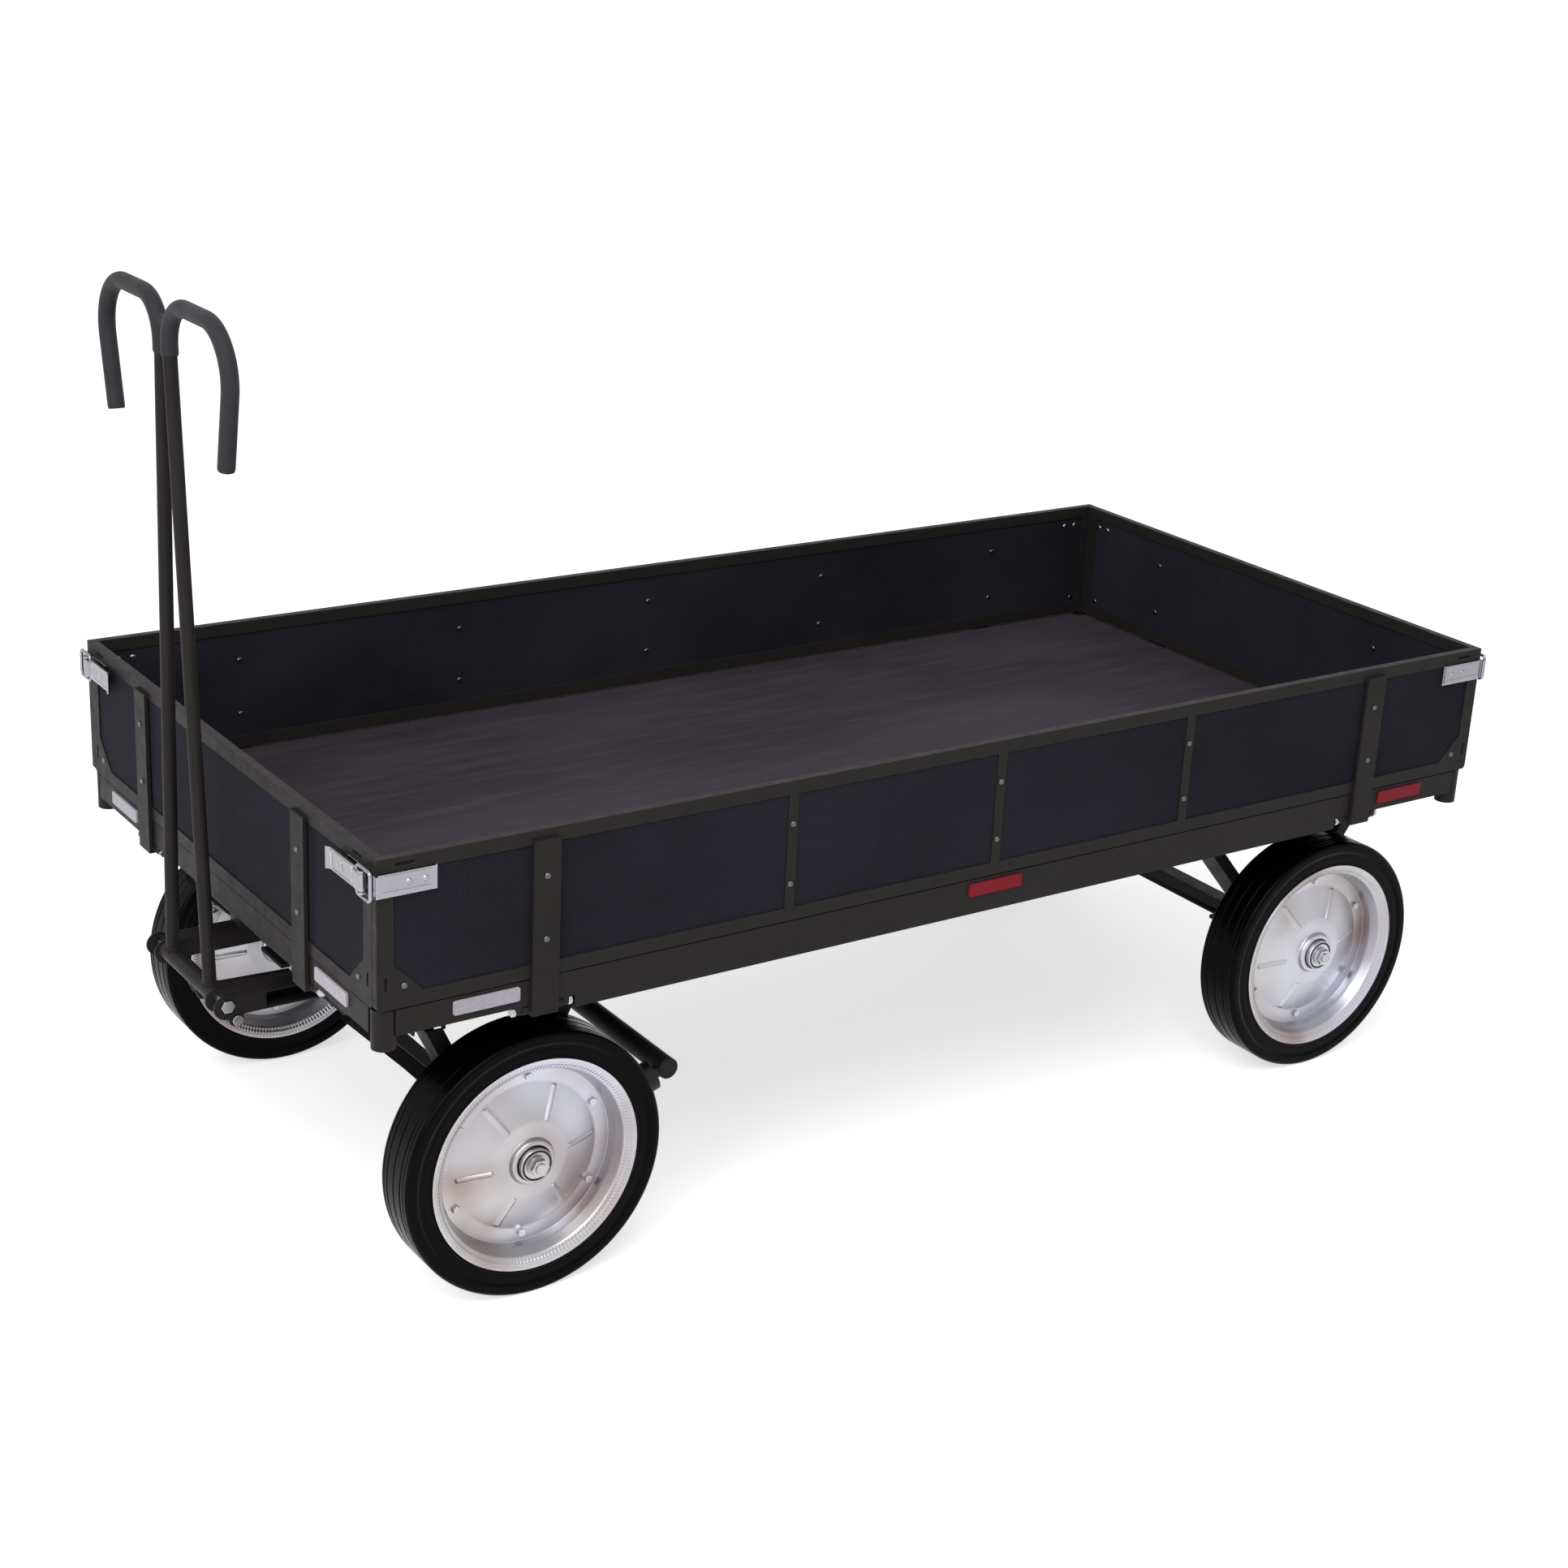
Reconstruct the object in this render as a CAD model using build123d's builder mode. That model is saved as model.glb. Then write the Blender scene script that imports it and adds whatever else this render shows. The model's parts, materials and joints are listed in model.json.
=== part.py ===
import os
from math import cos, hypot, radians, sin
from build123d import *

os.makedirs("parts", exist_ok=True)

# Sizes in millimetres. X forward, Y to the cart's left, Z up.

# Box and chassis
box_length = 2000.0
box_width = 1000.0
deck_top = 508.0
deck_thick = 12.0
rail_high = 37.0
rail_web = 3.0
rail_flange = 30.0
rail_inset = 1.0
rail_ledge = 16.6
lip_drop = 18.0
lip_back = 0.5
lip_gap = 4.0
socket_radius = 16.85
socket_bore = 14.2
socket_hang = 20.0
member_width = 60.0
member_wall = 2.5
mid_member_x = 120.0
brace_member_ahead = 499.0
leg_member_ahead = 242.0
board_gap = 0.4

# Wall frames and panels
wall_gap = 2.0
wall_high = 210.0
wall_thick = 13.0
skin = 2.0
wall_rail = 20.0
upright = 24.0
corner_round = 7.0
gusset = 42.0
gusset_rivet = (15.0, 11.0)
panel_lap = 15.0
panel_gap = 0.1
end_gap = 1.0
drain_slot = (20.0, 4.5)
drain_place = (12.3, 37.0)
grip_slot = (28.0, 4.0)
grip_slot_place = (40.0, 9.5)

# Straps, strips and rivets
side_strap_in = 243.0
end_strap_in = 225.0
strap_width = 40.0
strap_thick = 6.0
strap_drop = 13.0
strip_pitch = 366.0
strip_width = 16.0
low_rivet = 56.0
high_rivet = 146.0
rivet_radius = 3.0
rivet_head = 4.6
rivet_rim = 0.8
rivet_dome = 1.4
rivet_taper = 45.0
hole_gap = 0.1

# Wall hinges
hinge_inset = 7.0
knuckle_radius = 7.0
knuckle_gap = 0.5
knuckle_half = 31.0
lug_gap = 1.0
lug_thick = 8.0
lug_margin = 1.0
hinge_bolt = 4.0
hinge_head = 6.0
hinge_hex = 6.5
running_gap = 0.08

# Toggle latches at the box corners
latch_drop = 34.0
lever_pin_in = 8.0
lever_pin_out = 9.0
lever_pin = 3.0
lever_half = 15.0
lever_length = 97.0
lever_under = 2.0
lever_over = 1.5
lever_tip = (8.0, 2.0)
lever_barrel = 5.4
barrel_cut = 3.0
bail_barrel = 4.8
bail_pin_in = 14.0
bail_wire = 2.5
bail_bend = 6.0
bail_half = 20.0
bail_reach = 24.0
wire_seam = 0.1
ear_radius = 6.0
ear_thick = 3.0
base_thick = 2.0
base_length = 64.0
base_margin = 1.0
base_rivet_in = (49.0, 25.5)
catch_length = 82.0
catch_half = 15.0
catch_high = 4.0
catch_lip = 4.0
catch_rib = (70.0, 4.0, 1.2)
catch_rib_at = 11.0
catch_rivet_in = (67.5, 44.0)
backing_margin = 3.0
backing_thick = 1.5

# Wheels
wheel_radius = 200.0
wheel_width = 80.0
wheel_in = 83.0
front_axle_in = 263.0
rear_axle_in = 240.0
rim_radius = 162.0
rim_sheet = 3.0
rim_bend = 2.0
rim_gap = 0.15
seat_radius = 136.0
dish_rise = 18.5
collar_rise = 29.5
collar_out = 6.5
collar_foot = (9.5, 2.5)
cone_head_out = 32.0
cone_foot_in = 8.5
rim_edge_in = 0.5
well_top = (2.0, 22.0)
well_round = (9.0, 6.0)
bead_foot = (12.0, 4.0)
bead_in = (10.0, 7.0)
bead_deep = 1.5
rim_edge_wide = 5.0
tread_groove = (3.0, 2.5)
groove_pitch = 19.0
shoulder = 13.0
rim_bolt_circle = 121.0
rim_bolt = 3.5
rim_bolt_hex = 6.2
rim_bolt_high = 5.0
rim_bolts = 6
bolt_phase = 32.0
rib_phase = -6.0
rib_width = 13.0
rib_high = 2.6
rib_taper = 25.0
rib_margin = 1.5
hub_radius = 25.0
hub_half = 39.0

# Axles
stub_radius = 10.0
thread_radius = 8.0
thread_length = 14.0
axle_bar = 30.0
axle_shoulder = 3.0
washer = (15.0, 3.0)
nut_across = 24.0
nut_thick = 8.0
nut_gap = 0.3

# Axle stands
leg_in = 120.0
leg_width = 53.0
leg_sheet = 4.0
leg_depth = 26.0
saddle_thick = 6.0
saddle_margin = 14.0
brace_in = 25.0
brace_width = 20.0
rear_brace_deep = 14.0
front_brace_deep = 29.0
rear_leg_foot = 37.5
rear_leg_head = 20.0
rear_brace_foot = 70.5
front_leg_foot = 38.0
front_leg_head = 117.0
front_brace_foot = 40.0
front_brace_ahead = 11.6

# Turntable and front bogie
ring_radius = 186.0
ring_bore = 155.0
ring_stack = 43.0
ring_gap = 0.4
skirt = 5.5
skirt_gap = 0.8
skirt_lift = 8.0
bolster_offset = 113.0
bolster_width = 50.0
bolster_high = 46.0
bolster_past = 2.0
bogie_sheet = 3.0
arm_high = 28.0
arm_gap = 2.0
arm_width = 34.0
arm_tail = 18.0
nose_margin = 4.0
cheek_length = 60.0
stop_back = 14.5
stop_down = 24.0
stop_ear = 11.0
stop_bolt = 4.0
stop_head = (7.5, 6.0)
stop_tail = 10.0
cross_bar_in = 82.0
cross_bar_width = 34.0
cross_bar_high = 26.0
cross_bar_lift = 12.0
tail_bar_width = 34.0

# Drawbar
pivot_ahead = 48.0
pivot_down = 10.0
lean = 0.5
tube_radius = 9.8
cross_tube = 12.8
cross_tube_half = 89.0
pivot_bolt = 6.0
pivot_hex = (10.0, 7.0)
foot_half = 68.0
neck_half = 14.2
neck_at = 890.0
horn_top = 961.0
horn_reach = 225.5
horn_toe = 37.0
horn_drop = 184.0
horn_bends = (57.0, 71.0)
grip_radius = 11.8
grip_gap = 0.05
grip_cap = 4.0
grip_web = (29.0, 52.0, 10.0)
crank_back = 13.0
crank_down = 30.0
crank_pin = 4.0
crank_wall = 5.0
plate_inner = 6.0
plate_thick = 5.0

# Parking brake
brake_pivot_behind = 31.0
brake_pivot_down = 14.0
brake_bar_back = -3.0
brake_bar_down = 90.0
brake_bar_radius = 15.7
brake_bar_past = 9.0
brake_lever = 45.0
hanger_at = 66.0
hanger_thick = 8.0
hanger_width = 20.0
brake_eye = 12.0
pad_radius = 22.0
pad_thick = 18.0
pad_stem = 9.0
pad_gap = 0.3
rod_thick = 10.0
rod_high = 14.0
rod_eye = 11.0
fork_back = 15.8
fork_under = 8.0
fork_over = 5.6
fork_wall = 4.5
fork_front = 3.0

# Reflectors
reflector = (98.0, 20.0, 3.0)
reflector_round = 3.0
reflector_up = 21.5
side_white_in = 158.0
side_red_in = 153.0
mid_red_x = -4.0
end_reflector_in = 135.0

# Places worked out from the sizes
half_l = box_length / 2
half_w = box_width / 2
front_axle_x = half_l - front_axle_in
rear_axle_x = rear_axle_in - half_l
wheel_mid = half_w - wheel_in
leg_inner = wheel_mid - leg_in
leg_outer = leg_inner + leg_width
brace_inner = leg_inner - brace_in
arm_inner = cross_tube_half + arm_gap
arm_outer = arm_inner + arm_width
pivot_x = half_l + pivot_ahead
cross_bar_x = half_l - cross_bar_in
brake_pivot_x = front_axle_x - wheel_radius - brake_pivot_behind
brake_bar_half = wheel_mid + brake_bar_past
side_strap_at = half_l - side_strap_in
end_strap_at = half_w - end_strap_in
rail_bottom = deck_top - rail_high
flange_top = rail_bottom + rail_web
deck_under = deck_top - deck_thick
wall_bottom = deck_top + wall_gap
wall_top = wall_bottom + wall_high
wall_mid = wall_bottom + wall_high / 2
latch_z = wall_top - latch_drop
hinge_z = rail_bottom - knuckle_radius - knuckle_gap
end_width = box_width - 2 * (wall_thick + end_gap)
panel_thick = wall_thick - 2 * skin - 2 * panel_gap
panel_back = -skin - panel_gap - panel_thick
ring_low = flange_top - ring_stack
ring_split = flange_top - ring_stack / 2
arm_top = ring_low - bolster_high
arm_mid = arm_top - arm_high / 2
pivot = (pivot_x, arm_top - pivot_down)
brake_pivot = (brake_pivot_x, arm_top - brake_pivot_down)
axle_z = wheel_radius
saddle_top = axle_z + axle_bar / 2 + saddle_thick
ear_out = lever_pin_out + ear_radius
bolt_half = knuckle_half + lug_gap + lug_thick
cross_bar_low = arm_top + cross_bar_lift
front_reach = pivot_x + horn_top * sin(radians(lean)) + grip_radius
rear_reach = half_l + ear_out
x_mid = (front_reach - rear_reach) / 2


def at(x):
    """X in the part's frame of a place measured from the middle of the box."""
    return x - x_mid


def save(name, shape):
    shape.label = name
    export_step(shape, f"parts/{name}.step")


def across(x):
    """Plane across the cart at x: sketch x is Y, sketch y is Z."""
    return Plane(origin=(at(x), 0, 0), x_dir=(0, 1, 0), z_dir=(1, 0, 0))


def along(y):
    """Plane along the cart at y, facing -Y: sketch x is X from the box middle, sketch y is Z."""
    return Plane(origin=(at(0), y, 0), x_dir=(1, 0, 0), z_dir=(0, -1, 0))


def level(z):
    """Level plane at z with its origin at the box middle."""
    return Plane(origin=(at(0), 0, z))


def span(side, inner, outer):
    """Where a sketch along the cart starts, to be extruded from outer to inner on one side."""
    return along(outer if side > 0 else -inner)


# Chassis rails: a C section coped round the corner sockets, with a deeper lip along the sides
socket_inset = socket_radius + rail_inset
corner_x = half_l - socket_inset
corner_y = half_w - socket_inset
corners = [(sx * corner_x, sy * corner_y) for sx in (-1, 1) for sy in (-1, 1)]
cope = (socket_radius**2 - (socket_radius - rail_web) ** 2) ** 0.5
side_rail_half = corner_x - cope
end_rail_half = corner_y - cope
lip_half = side_strap_at - bolt_half - hinge_head - lip_gap
lip_low = rail_bottom - lip_drop


def rail_section(outer, way):
    """Outline of a rail whose outer face lies rail_inset inside outer and faces way."""
    face = outer - way * rail_inset
    web = face - way * rail_web
    ledge = face - way * rail_ledge
    flange = face - way * rail_flange
    return [
        (face, rail_bottom),
        (face, deck_top),
        (ledge, deck_top),
        (ledge, deck_top - rail_web),
        (web, deck_top - rail_web),
        (web, flange_top),
        (flange, flange_top),
        (flange, rail_bottom),
    ]


def lip_section(way):
    """Outline of the lip under a side rail: an L set back from the rail's face."""
    face = way * (half_w - rail_inset - lip_back)
    web = face - way * rail_web
    flange = face - way * rail_flange
    return [
        (face, lip_low),
        (face, rail_bottom),
        (web, rail_bottom),
        (web, lip_low + rail_web),
        (flange, lip_low + rail_web),
        (flange, lip_low),
    ]


with BuildPart() as chassis_rails:
    with BuildSketch(across(-side_rail_half)):
        Polygon(*rail_section(half_w, 1))
        Polygon(*rail_section(-half_w, -1))
    extrude(amount=2 * side_rail_half)
    with BuildSketch(along(end_rail_half)):
        Polygon(*rail_section(half_l, 1))
        Polygon(*rail_section(-half_l, -1))
    extrude(amount=2 * end_rail_half)
    with BuildSketch(level(rail_bottom)):
        with Locations(*corners):
            Circle(socket_radius)
    extrude(amount=rail_high, mode=Mode.SUBTRACT)
    with BuildSketch(across(-lip_half)):
        Polygon(*lip_section(1))
        Polygon(*lip_section(-1))
    extrude(amount=2 * lip_half)
save("chassis_rails", chassis_rails.part)

# Cross members: box tubes on the rail flanges, under the deck
member_half = half_w - rail_inset - rail_web - board_gap
member_high = deck_under - flange_top
brace_member_x = rear_axle_x + brace_member_ahead
leg_member_x = rear_axle_x + leg_member_ahead
member_places = (
    front_axle_x + bolster_offset,
    front_axle_x - bolster_offset,
    mid_member_x,
    brace_member_x,
    leg_member_x,
)
with BuildPart() as cross_members:
    with BuildSketch(along(member_half)):
        with Locations(*[(x, flange_top + member_high / 2) for x in member_places]):
            Rectangle(member_width, member_high)
            Rectangle(member_width - 2 * member_wall, member_high - 2 * member_wall, mode=Mode.SUBTRACT)
    extrude(amount=2 * member_half)
save("cross_members", cross_members.part)

# Corner sockets for stakes
with BuildPart() as corner_sockets:
    with BuildSketch(level(rail_bottom - socket_hang)):
        with Locations(*corners):
            Circle(socket_radius)
            Circle(socket_bore, mode=Mode.SUBTRACT)
    extrude(amount=rail_high + socket_hang)
save("corner_sockets", corner_sockets.part)

# Deck board between the rails' ledges, cut out round the sockets
board_half_l = half_l - rail_inset - rail_ledge - board_gap
board_half_w = half_w - rail_inset - rail_ledge - board_gap
with BuildPart() as deck_board:
    with BuildSketch(level(deck_under)):
        Rectangle(2 * board_half_l, 2 * board_half_w)
        with Locations(*corners):
            Circle(socket_radius + board_gap, mode=Mode.SUBTRACT)
    extrude(amount=deck_thick)
save("deck_board", deck_board.part)


class Wall:
    """A box wall and its planes. Along it, positions are counted from its middle."""

    def __init__(self, name, place, run, out, length, strap_at, is_side):
        self.name = name
        self.run = run
        self.length = length
        self.straps = (-strap_at, strap_at)
        self.is_side = is_side
        origin = (at(place[0]), place[1], 0)
        # On the outer face: sketch x runs along the wall, sketch y is height
        self.face = Plane(origin=origin, x_dir=run, z_dir=out)
        # Through the wall: sketch x is outwards from the outer face, sketch y is height
        self.through = Plane(origin=origin, x_dir=out, z_dir=(-run[0], -run[1], 0))

    def cut_at(self, place):
        """Plane through the wall at a place along it, facing back along the wall."""
        return self.through.offset(-place)

    def latch_plane(self, side):
        """Level plane at a latch: sketch x runs to the corner, sketch y outwards."""
        origin = self.face.origin + Vector(0, 0, latch_z)
        return Plane(origin=origin, x_dir=(side * self.run[0], side * self.run[1], 0), z_dir=(0, 0, -side))


walls = [
    Wall("left_wall", (0, half_w), (-1, 0, 0), (0, 1, 0), box_length, side_strap_at, True),
    Wall("right_wall", (0, -half_w), (1, 0, 0), (0, -1, 0), box_length, side_strap_at, True),
    Wall("front_wall", (half_l, 0), (0, 1, 0), (1, 0, 0), end_width, end_strap_at, False),
    Wall("rear_wall", (-half_l, 0), (0, -1, 0), (-1, 0, 0), end_width, end_strap_at, False),
]
left_wall, right_wall, front_wall, rear_wall = walls
rivet_rows = (wall_bottom + low_rivet, wall_bottom + high_rivet)
strip_places = (-strip_pitch, 0.0, strip_pitch)
lever_at = end_width / 2 - lever_pin_in
bail_at = lever_at - bail_pin_in
window_low = wall_bottom + wall_rail
window_top = wall_top - wall_rail


def wall_frame(wall, window_half, gusset_rivets):
    """U-profile frame: a hollow border with gussets in the lower corners of its outer skin."""
    half = wall.length / 2
    drains = [(s * (half - drain_place[0]), wall_bottom + drain_place[1]) for s in (-1, 1)]
    grips = [(s * (half - grip_slot_place[0]), wall_top - grip_slot_place[1]) for s in (-1, 1)]
    with BuildPart() as frame:
        with BuildSketch(wall.face.offset(-wall_thick)) as outline:
            with Locations((0, wall_mid)):
                Rectangle(wall.length, wall_high)
            fillet(outline.vertices().group_by(Axis.Y)[0], radius=corner_round)
            Polygon(
                (gusset - window_half, window_low),
                (window_half - gusset, window_low),
                (window_half, window_low + gusset),
                (window_half, window_top),
                (-window_half, window_top),
                (-window_half, window_low + gusset),
                mode=Mode.SUBTRACT,
            )
        extrude(amount=wall_thick)
        with BuildSketch(wall.face.offset(-wall_thick + skin)):
            with Locations((0, wall_mid)):
                Rectangle(wall.length - 2 * corner_round, wall_high - 2 * skin)
        extrude(amount=wall_thick - 2 * skin, mode=Mode.SUBTRACT)
        with BuildSketch(wall.face.offset(-skin)):
            with Locations(*drains):
                SlotOverall(*drain_slot, rotation=90)
            with Locations(*grips):
                SlotOverall(*grip_slot)
            with Locations(*gusset_rivets):
                Circle(rivet_radius + hole_gap)
        extrude(amount=skin, mode=Mode.SUBTRACT)
        with BuildSketch(wall.face.offset(-wall_thick)):
            with Locations((0, (window_low + window_top) / 2)):
                Rectangle(2 * window_half, window_top - window_low)
        extrude(amount=skin, mode=Mode.SUBTRACT)
    return frame.part


def wall_panel(wall, window_half, rivets):
    """Plywood panel in the frame's groove, drilled for every rivet."""
    with BuildPart() as panel:
        with BuildSketch(wall.face.offset(panel_back)):
            with Locations((0, wall_mid)):
                Rectangle(2 * (window_half + panel_lap), wall_high - 2 * wall_rail + 2 * panel_lap)
            with Locations(*rivets):
                Circle(rivet_radius + hole_gap, mode=Mode.SUBTRACT)
        extrude(amount=panel_thick)
    return panel.part


def wall_straps(wall, rivets):
    """Hinge straps with their knuckles, and on a side wall the strips between them."""
    foot = hinge_z - knuckle_radius
    with BuildPart() as straps:
        for strap in wall.straps:
            with BuildSketch(wall.cut_at(strap + strap_width / 2)):
                Polygon(
                    (0, wall_top - strap_drop),
                    (strap_thick, wall_top - strap_drop),
                    (strap_thick, foot),
                    (-hinge_inset, foot),
                    (-hinge_inset, hinge_z),
                    (0, hinge_z),
                )
            extrude(amount=strap_width)
            with BuildSketch(wall.cut_at(strap + knuckle_half)):
                with Locations((-hinge_inset, hinge_z)):
                    Circle(knuckle_radius)
            extrude(amount=2 * knuckle_half)
            with BuildSketch(wall.cut_at(strap + knuckle_half)):
                with Locations((-hinge_inset, hinge_z)):
                    Circle(hinge_bolt + running_gap)
            extrude(amount=2 * knuckle_half, mode=Mode.SUBTRACT)
        if wall.is_side:
            with BuildSketch(wall.face.offset(-skin)):
                with Locations(*[(place, wall_mid) for place in strip_places]):
                    Rectangle(strip_width, wall_high - 2 * wall_rail - 2 * panel_gap)
            extrude(amount=skin)
        with BuildSketch(wall.face.offset(-skin)):
            with Locations(*rivets):
                Circle(rivet_radius + hole_gap)
        extrude(amount=skin + strap_thick, mode=Mode.SUBTRACT)
    return straps.part


def rivet_group(wall, groups):
    """Rivets with a round head on both sides; each group is (places, outer seat, inner seat)."""
    with BuildPart() as rivets:
        for places, outer, inner in groups:
            with BuildSketch(wall.face.offset(inner)):
                with Locations(*places):
                    Circle(rivet_radius)
            extrude(amount=outer - inner)
            for seat, way in ((outer, 1), (inner, -1)):
                with BuildSketch(wall.face.offset(seat)):
                    with Locations(*places):
                        Circle(rivet_head)
                extrude(amount=way * rivet_rim)
                with BuildSketch(wall.face.offset(seat + way * rivet_rim)):
                    with Locations(*places):
                        Circle(rivet_head)
                extrude(amount=way * rivet_dome, taper=rivet_taper)
    return rivets.part


def catch_plate(wall, side):
    """Catch on a side wall's end: ribbed plate with a lip, on a larger backing plate."""
    half = wall.length / 2
    backing_at = half - (catch_length + backing_margin) / 2
    holes = [(side * (half - place), latch_z) for place in catch_rivet_in]
    with BuildPart() as catch:
        with BuildSketch(wall.face):
            with Locations((side * backing_at, latch_z - backing_margin / 2)):
                Rectangle(catch_length + backing_margin, 2 * catch_half + backing_margin)
        extrude(amount=backing_thick)
        with BuildSketch(wall.face.offset(backing_thick)):
            with Locations((side * (half - catch_length / 2), latch_z)):
                Rectangle(catch_length, 2 * catch_half)
        extrude(amount=catch_high - backing_thick)
        with BuildSketch(wall.face.offset(catch_high)):
            for row in (-catch_rib_at, catch_rib_at):
                with Locations((side * (half - catch_length / 2), latch_z + row)):
                    SlotOverall(catch_rib[0], catch_rib[1])
        extrude(amount=catch_rib[2])
        with BuildSketch(wall.face):
            with Locations((side * (half + catch_lip / 2), latch_z)):
                Rectangle(catch_lip, 2 * catch_half)
        extrude(amount=catch_high + catch_lip)
        with BuildSketch(wall.face):
            with Locations(*holes):
                Circle(rivet_radius + hole_gap)
        extrude(amount=catch_high, mode=Mode.SUBTRACT)
    return catch.part


def latch_base(wall, side):
    """Plate on an end wall with two ears that hold the lever's pin."""
    half = wall.length / 2
    flat = wall.latch_plane(side)
    holes = [(side * (lever_at - place), latch_z) for place in base_rivet_in]
    with BuildPart() as base:
        with BuildSketch(wall.face):
            with Locations((side * (half - base_margin - base_length / 2), latch_z)):
                Rectangle(base_length, 2 * (lever_half + base_margin))
            with Locations(*holes):
                Circle(rivet_radius + hole_gap, mode=Mode.SUBTRACT)
        extrude(amount=base_thick)
        for low in (-lever_half - base_margin, lever_half + base_margin - ear_thick):
            with BuildSketch(flat.offset(low)):
                with Locations((lever_at, (base_thick + lever_pin_out) / 2)):
                    Rectangle(2 * ear_radius, lever_pin_out - base_thick)
                with Locations((lever_at, lever_pin_out)):
                    Circle(ear_radius)
            extrude(amount=ear_thick)
        with BuildSketch(flat.offset(-lever_half - base_margin)):
            with Locations((lever_at, lever_pin_out)):
                Circle(lever_pin)
        extrude(amount=2 * (lever_half + base_margin))
    return base.part


def latch_lever(wall, side):
    """Flat lever with a turned-up finger end and barrels for its pin and the bail."""
    flat = wall.latch_plane(side)
    tip = lever_at - lever_length
    low = lever_pin_out - lever_under
    high = lever_pin_out + lever_over
    with BuildPart() as lever:
        with BuildSketch(flat.offset(-lever_half)):
            Polygon(
                (tip + lever_tip[0], low),
                (bail_at - bail_barrel, low),
                (bail_at - bail_barrel, high),
                (tip + lever_tip[0], high),
                (tip + lever_tip[1], ear_out),
                (tip, ear_out - lever_tip[1]),
            )
        extrude(amount=2 * lever_half)
        with BuildSketch(flat.offset(barrel_cut - lever_half)):
            Polygon(
                (bail_at - 2 * bail_barrel, low),
                (bail_at, lever_pin_out - bail_barrel),
                (lever_at, lever_pin_out - lever_barrel),
                (lever_at, lever_pin_out + lever_barrel),
                (bail_at, lever_pin_out + bail_barrel),
                (bail_at - 2 * bail_barrel, high),
            )
            with Locations((lever_at, lever_pin_out)):
                Circle(lever_barrel)
            with Locations((bail_at, lever_pin_out)):
                Circle(bail_barrel)
        extrude(amount=2 * (lever_half - barrel_cut))
        with BuildSketch(flat.offset(-lever_half)):
            with Locations((lever_at, lever_pin_out)):
                Circle(lever_pin + running_gap)
            with Locations((bail_at, lever_pin_out)):
                Circle(bail_wire + running_gap)
        extrude(amount=2 * lever_half, mode=Mode.SUBTRACT)
    return lever.part


def latch_bail(wall, side):
    """Wire loop hinged in the lever, reaching round the corner; its seam lies in the barrel."""
    plane = wall.face.offset(lever_pin_out)
    near = side * bail_at
    far = side * (lever_at + bail_reach)
    start = plane.from_local_coords(Vector(near, latch_z + wire_seam, 0))
    with BuildPart() as bail:
        with BuildLine(plane):
            FilletPolyline(
                (near, latch_z + wire_seam),
                (near, latch_z + bail_half),
                (far, latch_z + bail_half),
                (far, latch_z - bail_half),
                (near, latch_z - bail_half),
                (near, latch_z - wire_seam),
                radius=bail_bend,
            )
        with BuildSketch(Plane(origin=start, z_dir=(0, 0, 1))):
            Circle(bail_wire)
        sweep()
    return bail.part


for wall in walls:
    half = wall.length / 2
    window_half = half - upright
    end_places = [half - place for place in catch_rivet_in] if wall.is_side else []
    if not wall.is_side:
        end_places = [lever_at - place for place in base_rivet_in]
    strap_rivets = [(place, row) for place in wall.straps for row in rivet_rows]
    strip_rivets = [(place, row) for place in strip_places for row in rivet_rows if wall.is_side]
    gusset_rivets = [(s * (window_half - gusset_rivet[0]), window_low + gusset_rivet[1]) for s in (-1, 1)]
    end_rivets = [(s * place, latch_z) for s in (-1, 1) for place in end_places]
    groups = [
        (strap_rivets, strap_thick, panel_back),
        (gusset_rivets, 0.0, panel_back),
        (end_rivets, catch_high if wall.is_side else base_thick, panel_back),
    ]
    if strip_rivets:
        groups.append((strip_rivets, 0.0, panel_back))

    save(f"{wall.name}_frame", wall_frame(wall, window_half, gusset_rivets))
    panel_rivets = strap_rivets + strip_rivets + gusset_rivets + end_rivets
    save(f"{wall.name}_panel", wall_panel(wall, window_half, panel_rivets))
    save(f"{wall.name}_straps", wall_straps(wall, strap_rivets + strip_rivets))
    fitting = catch_plate if wall.is_side else latch_base
    fittings = [rivet_group(wall, groups)] + [fitting(wall, side) for side in (-1, 1)]
    save(f"{wall.name}_fittings", Compound(children=fittings))

for end, wall in (("front", front_wall), ("rear", rear_wall)):
    for side in (-1, 1):
        hand = "left" if side * wall.run[1] > 0 else "right"
        save(f"{end}_{hand}_lever", latch_lever(wall, side))
        save(f"{end}_{hand}_bail", latch_bail(wall, side))

# Hinge lugs under the rails, and a bolt with its nut through each pair
with BuildPart() as hinge_lugs:
    for wall in walls:
        for strap in wall.straps:
            for far in (strap + bolt_half, strap - knuckle_half - lug_gap):
                with BuildSketch(wall.cut_at(far)):
                    with Locations((-hinge_inset, (hinge_z + rail_bottom) / 2)):
                        Rectangle(2 * (knuckle_radius - lug_margin), rail_bottom - hinge_z)
                    with Locations((-hinge_inset, hinge_z)):
                        Circle(knuckle_radius - lug_margin)
                        Circle(hinge_bolt + hole_gap, mode=Mode.SUBTRACT)
                extrude(amount=lug_thick)
save("hinge_lugs", hinge_lugs.part)

with BuildPart() as hinge_bolts:
    for wall in walls:
        for strap in wall.straps:
            for far in (strap + bolt_half + hinge_head, strap - bolt_half):
                with BuildSketch(wall.cut_at(far)):
                    with Locations((-hinge_inset, hinge_z)):
                        RegularPolygon(hinge_hex, 6)
                extrude(amount=hinge_head)
            with BuildSketch(wall.cut_at(strap + bolt_half)):
                with Locations((-hinge_inset, hinge_z)):
                    Circle(hinge_bolt)
            extrude(amount=2 * bolt_half)
save("hinge_bolts", hinge_bolts.part)


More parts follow.
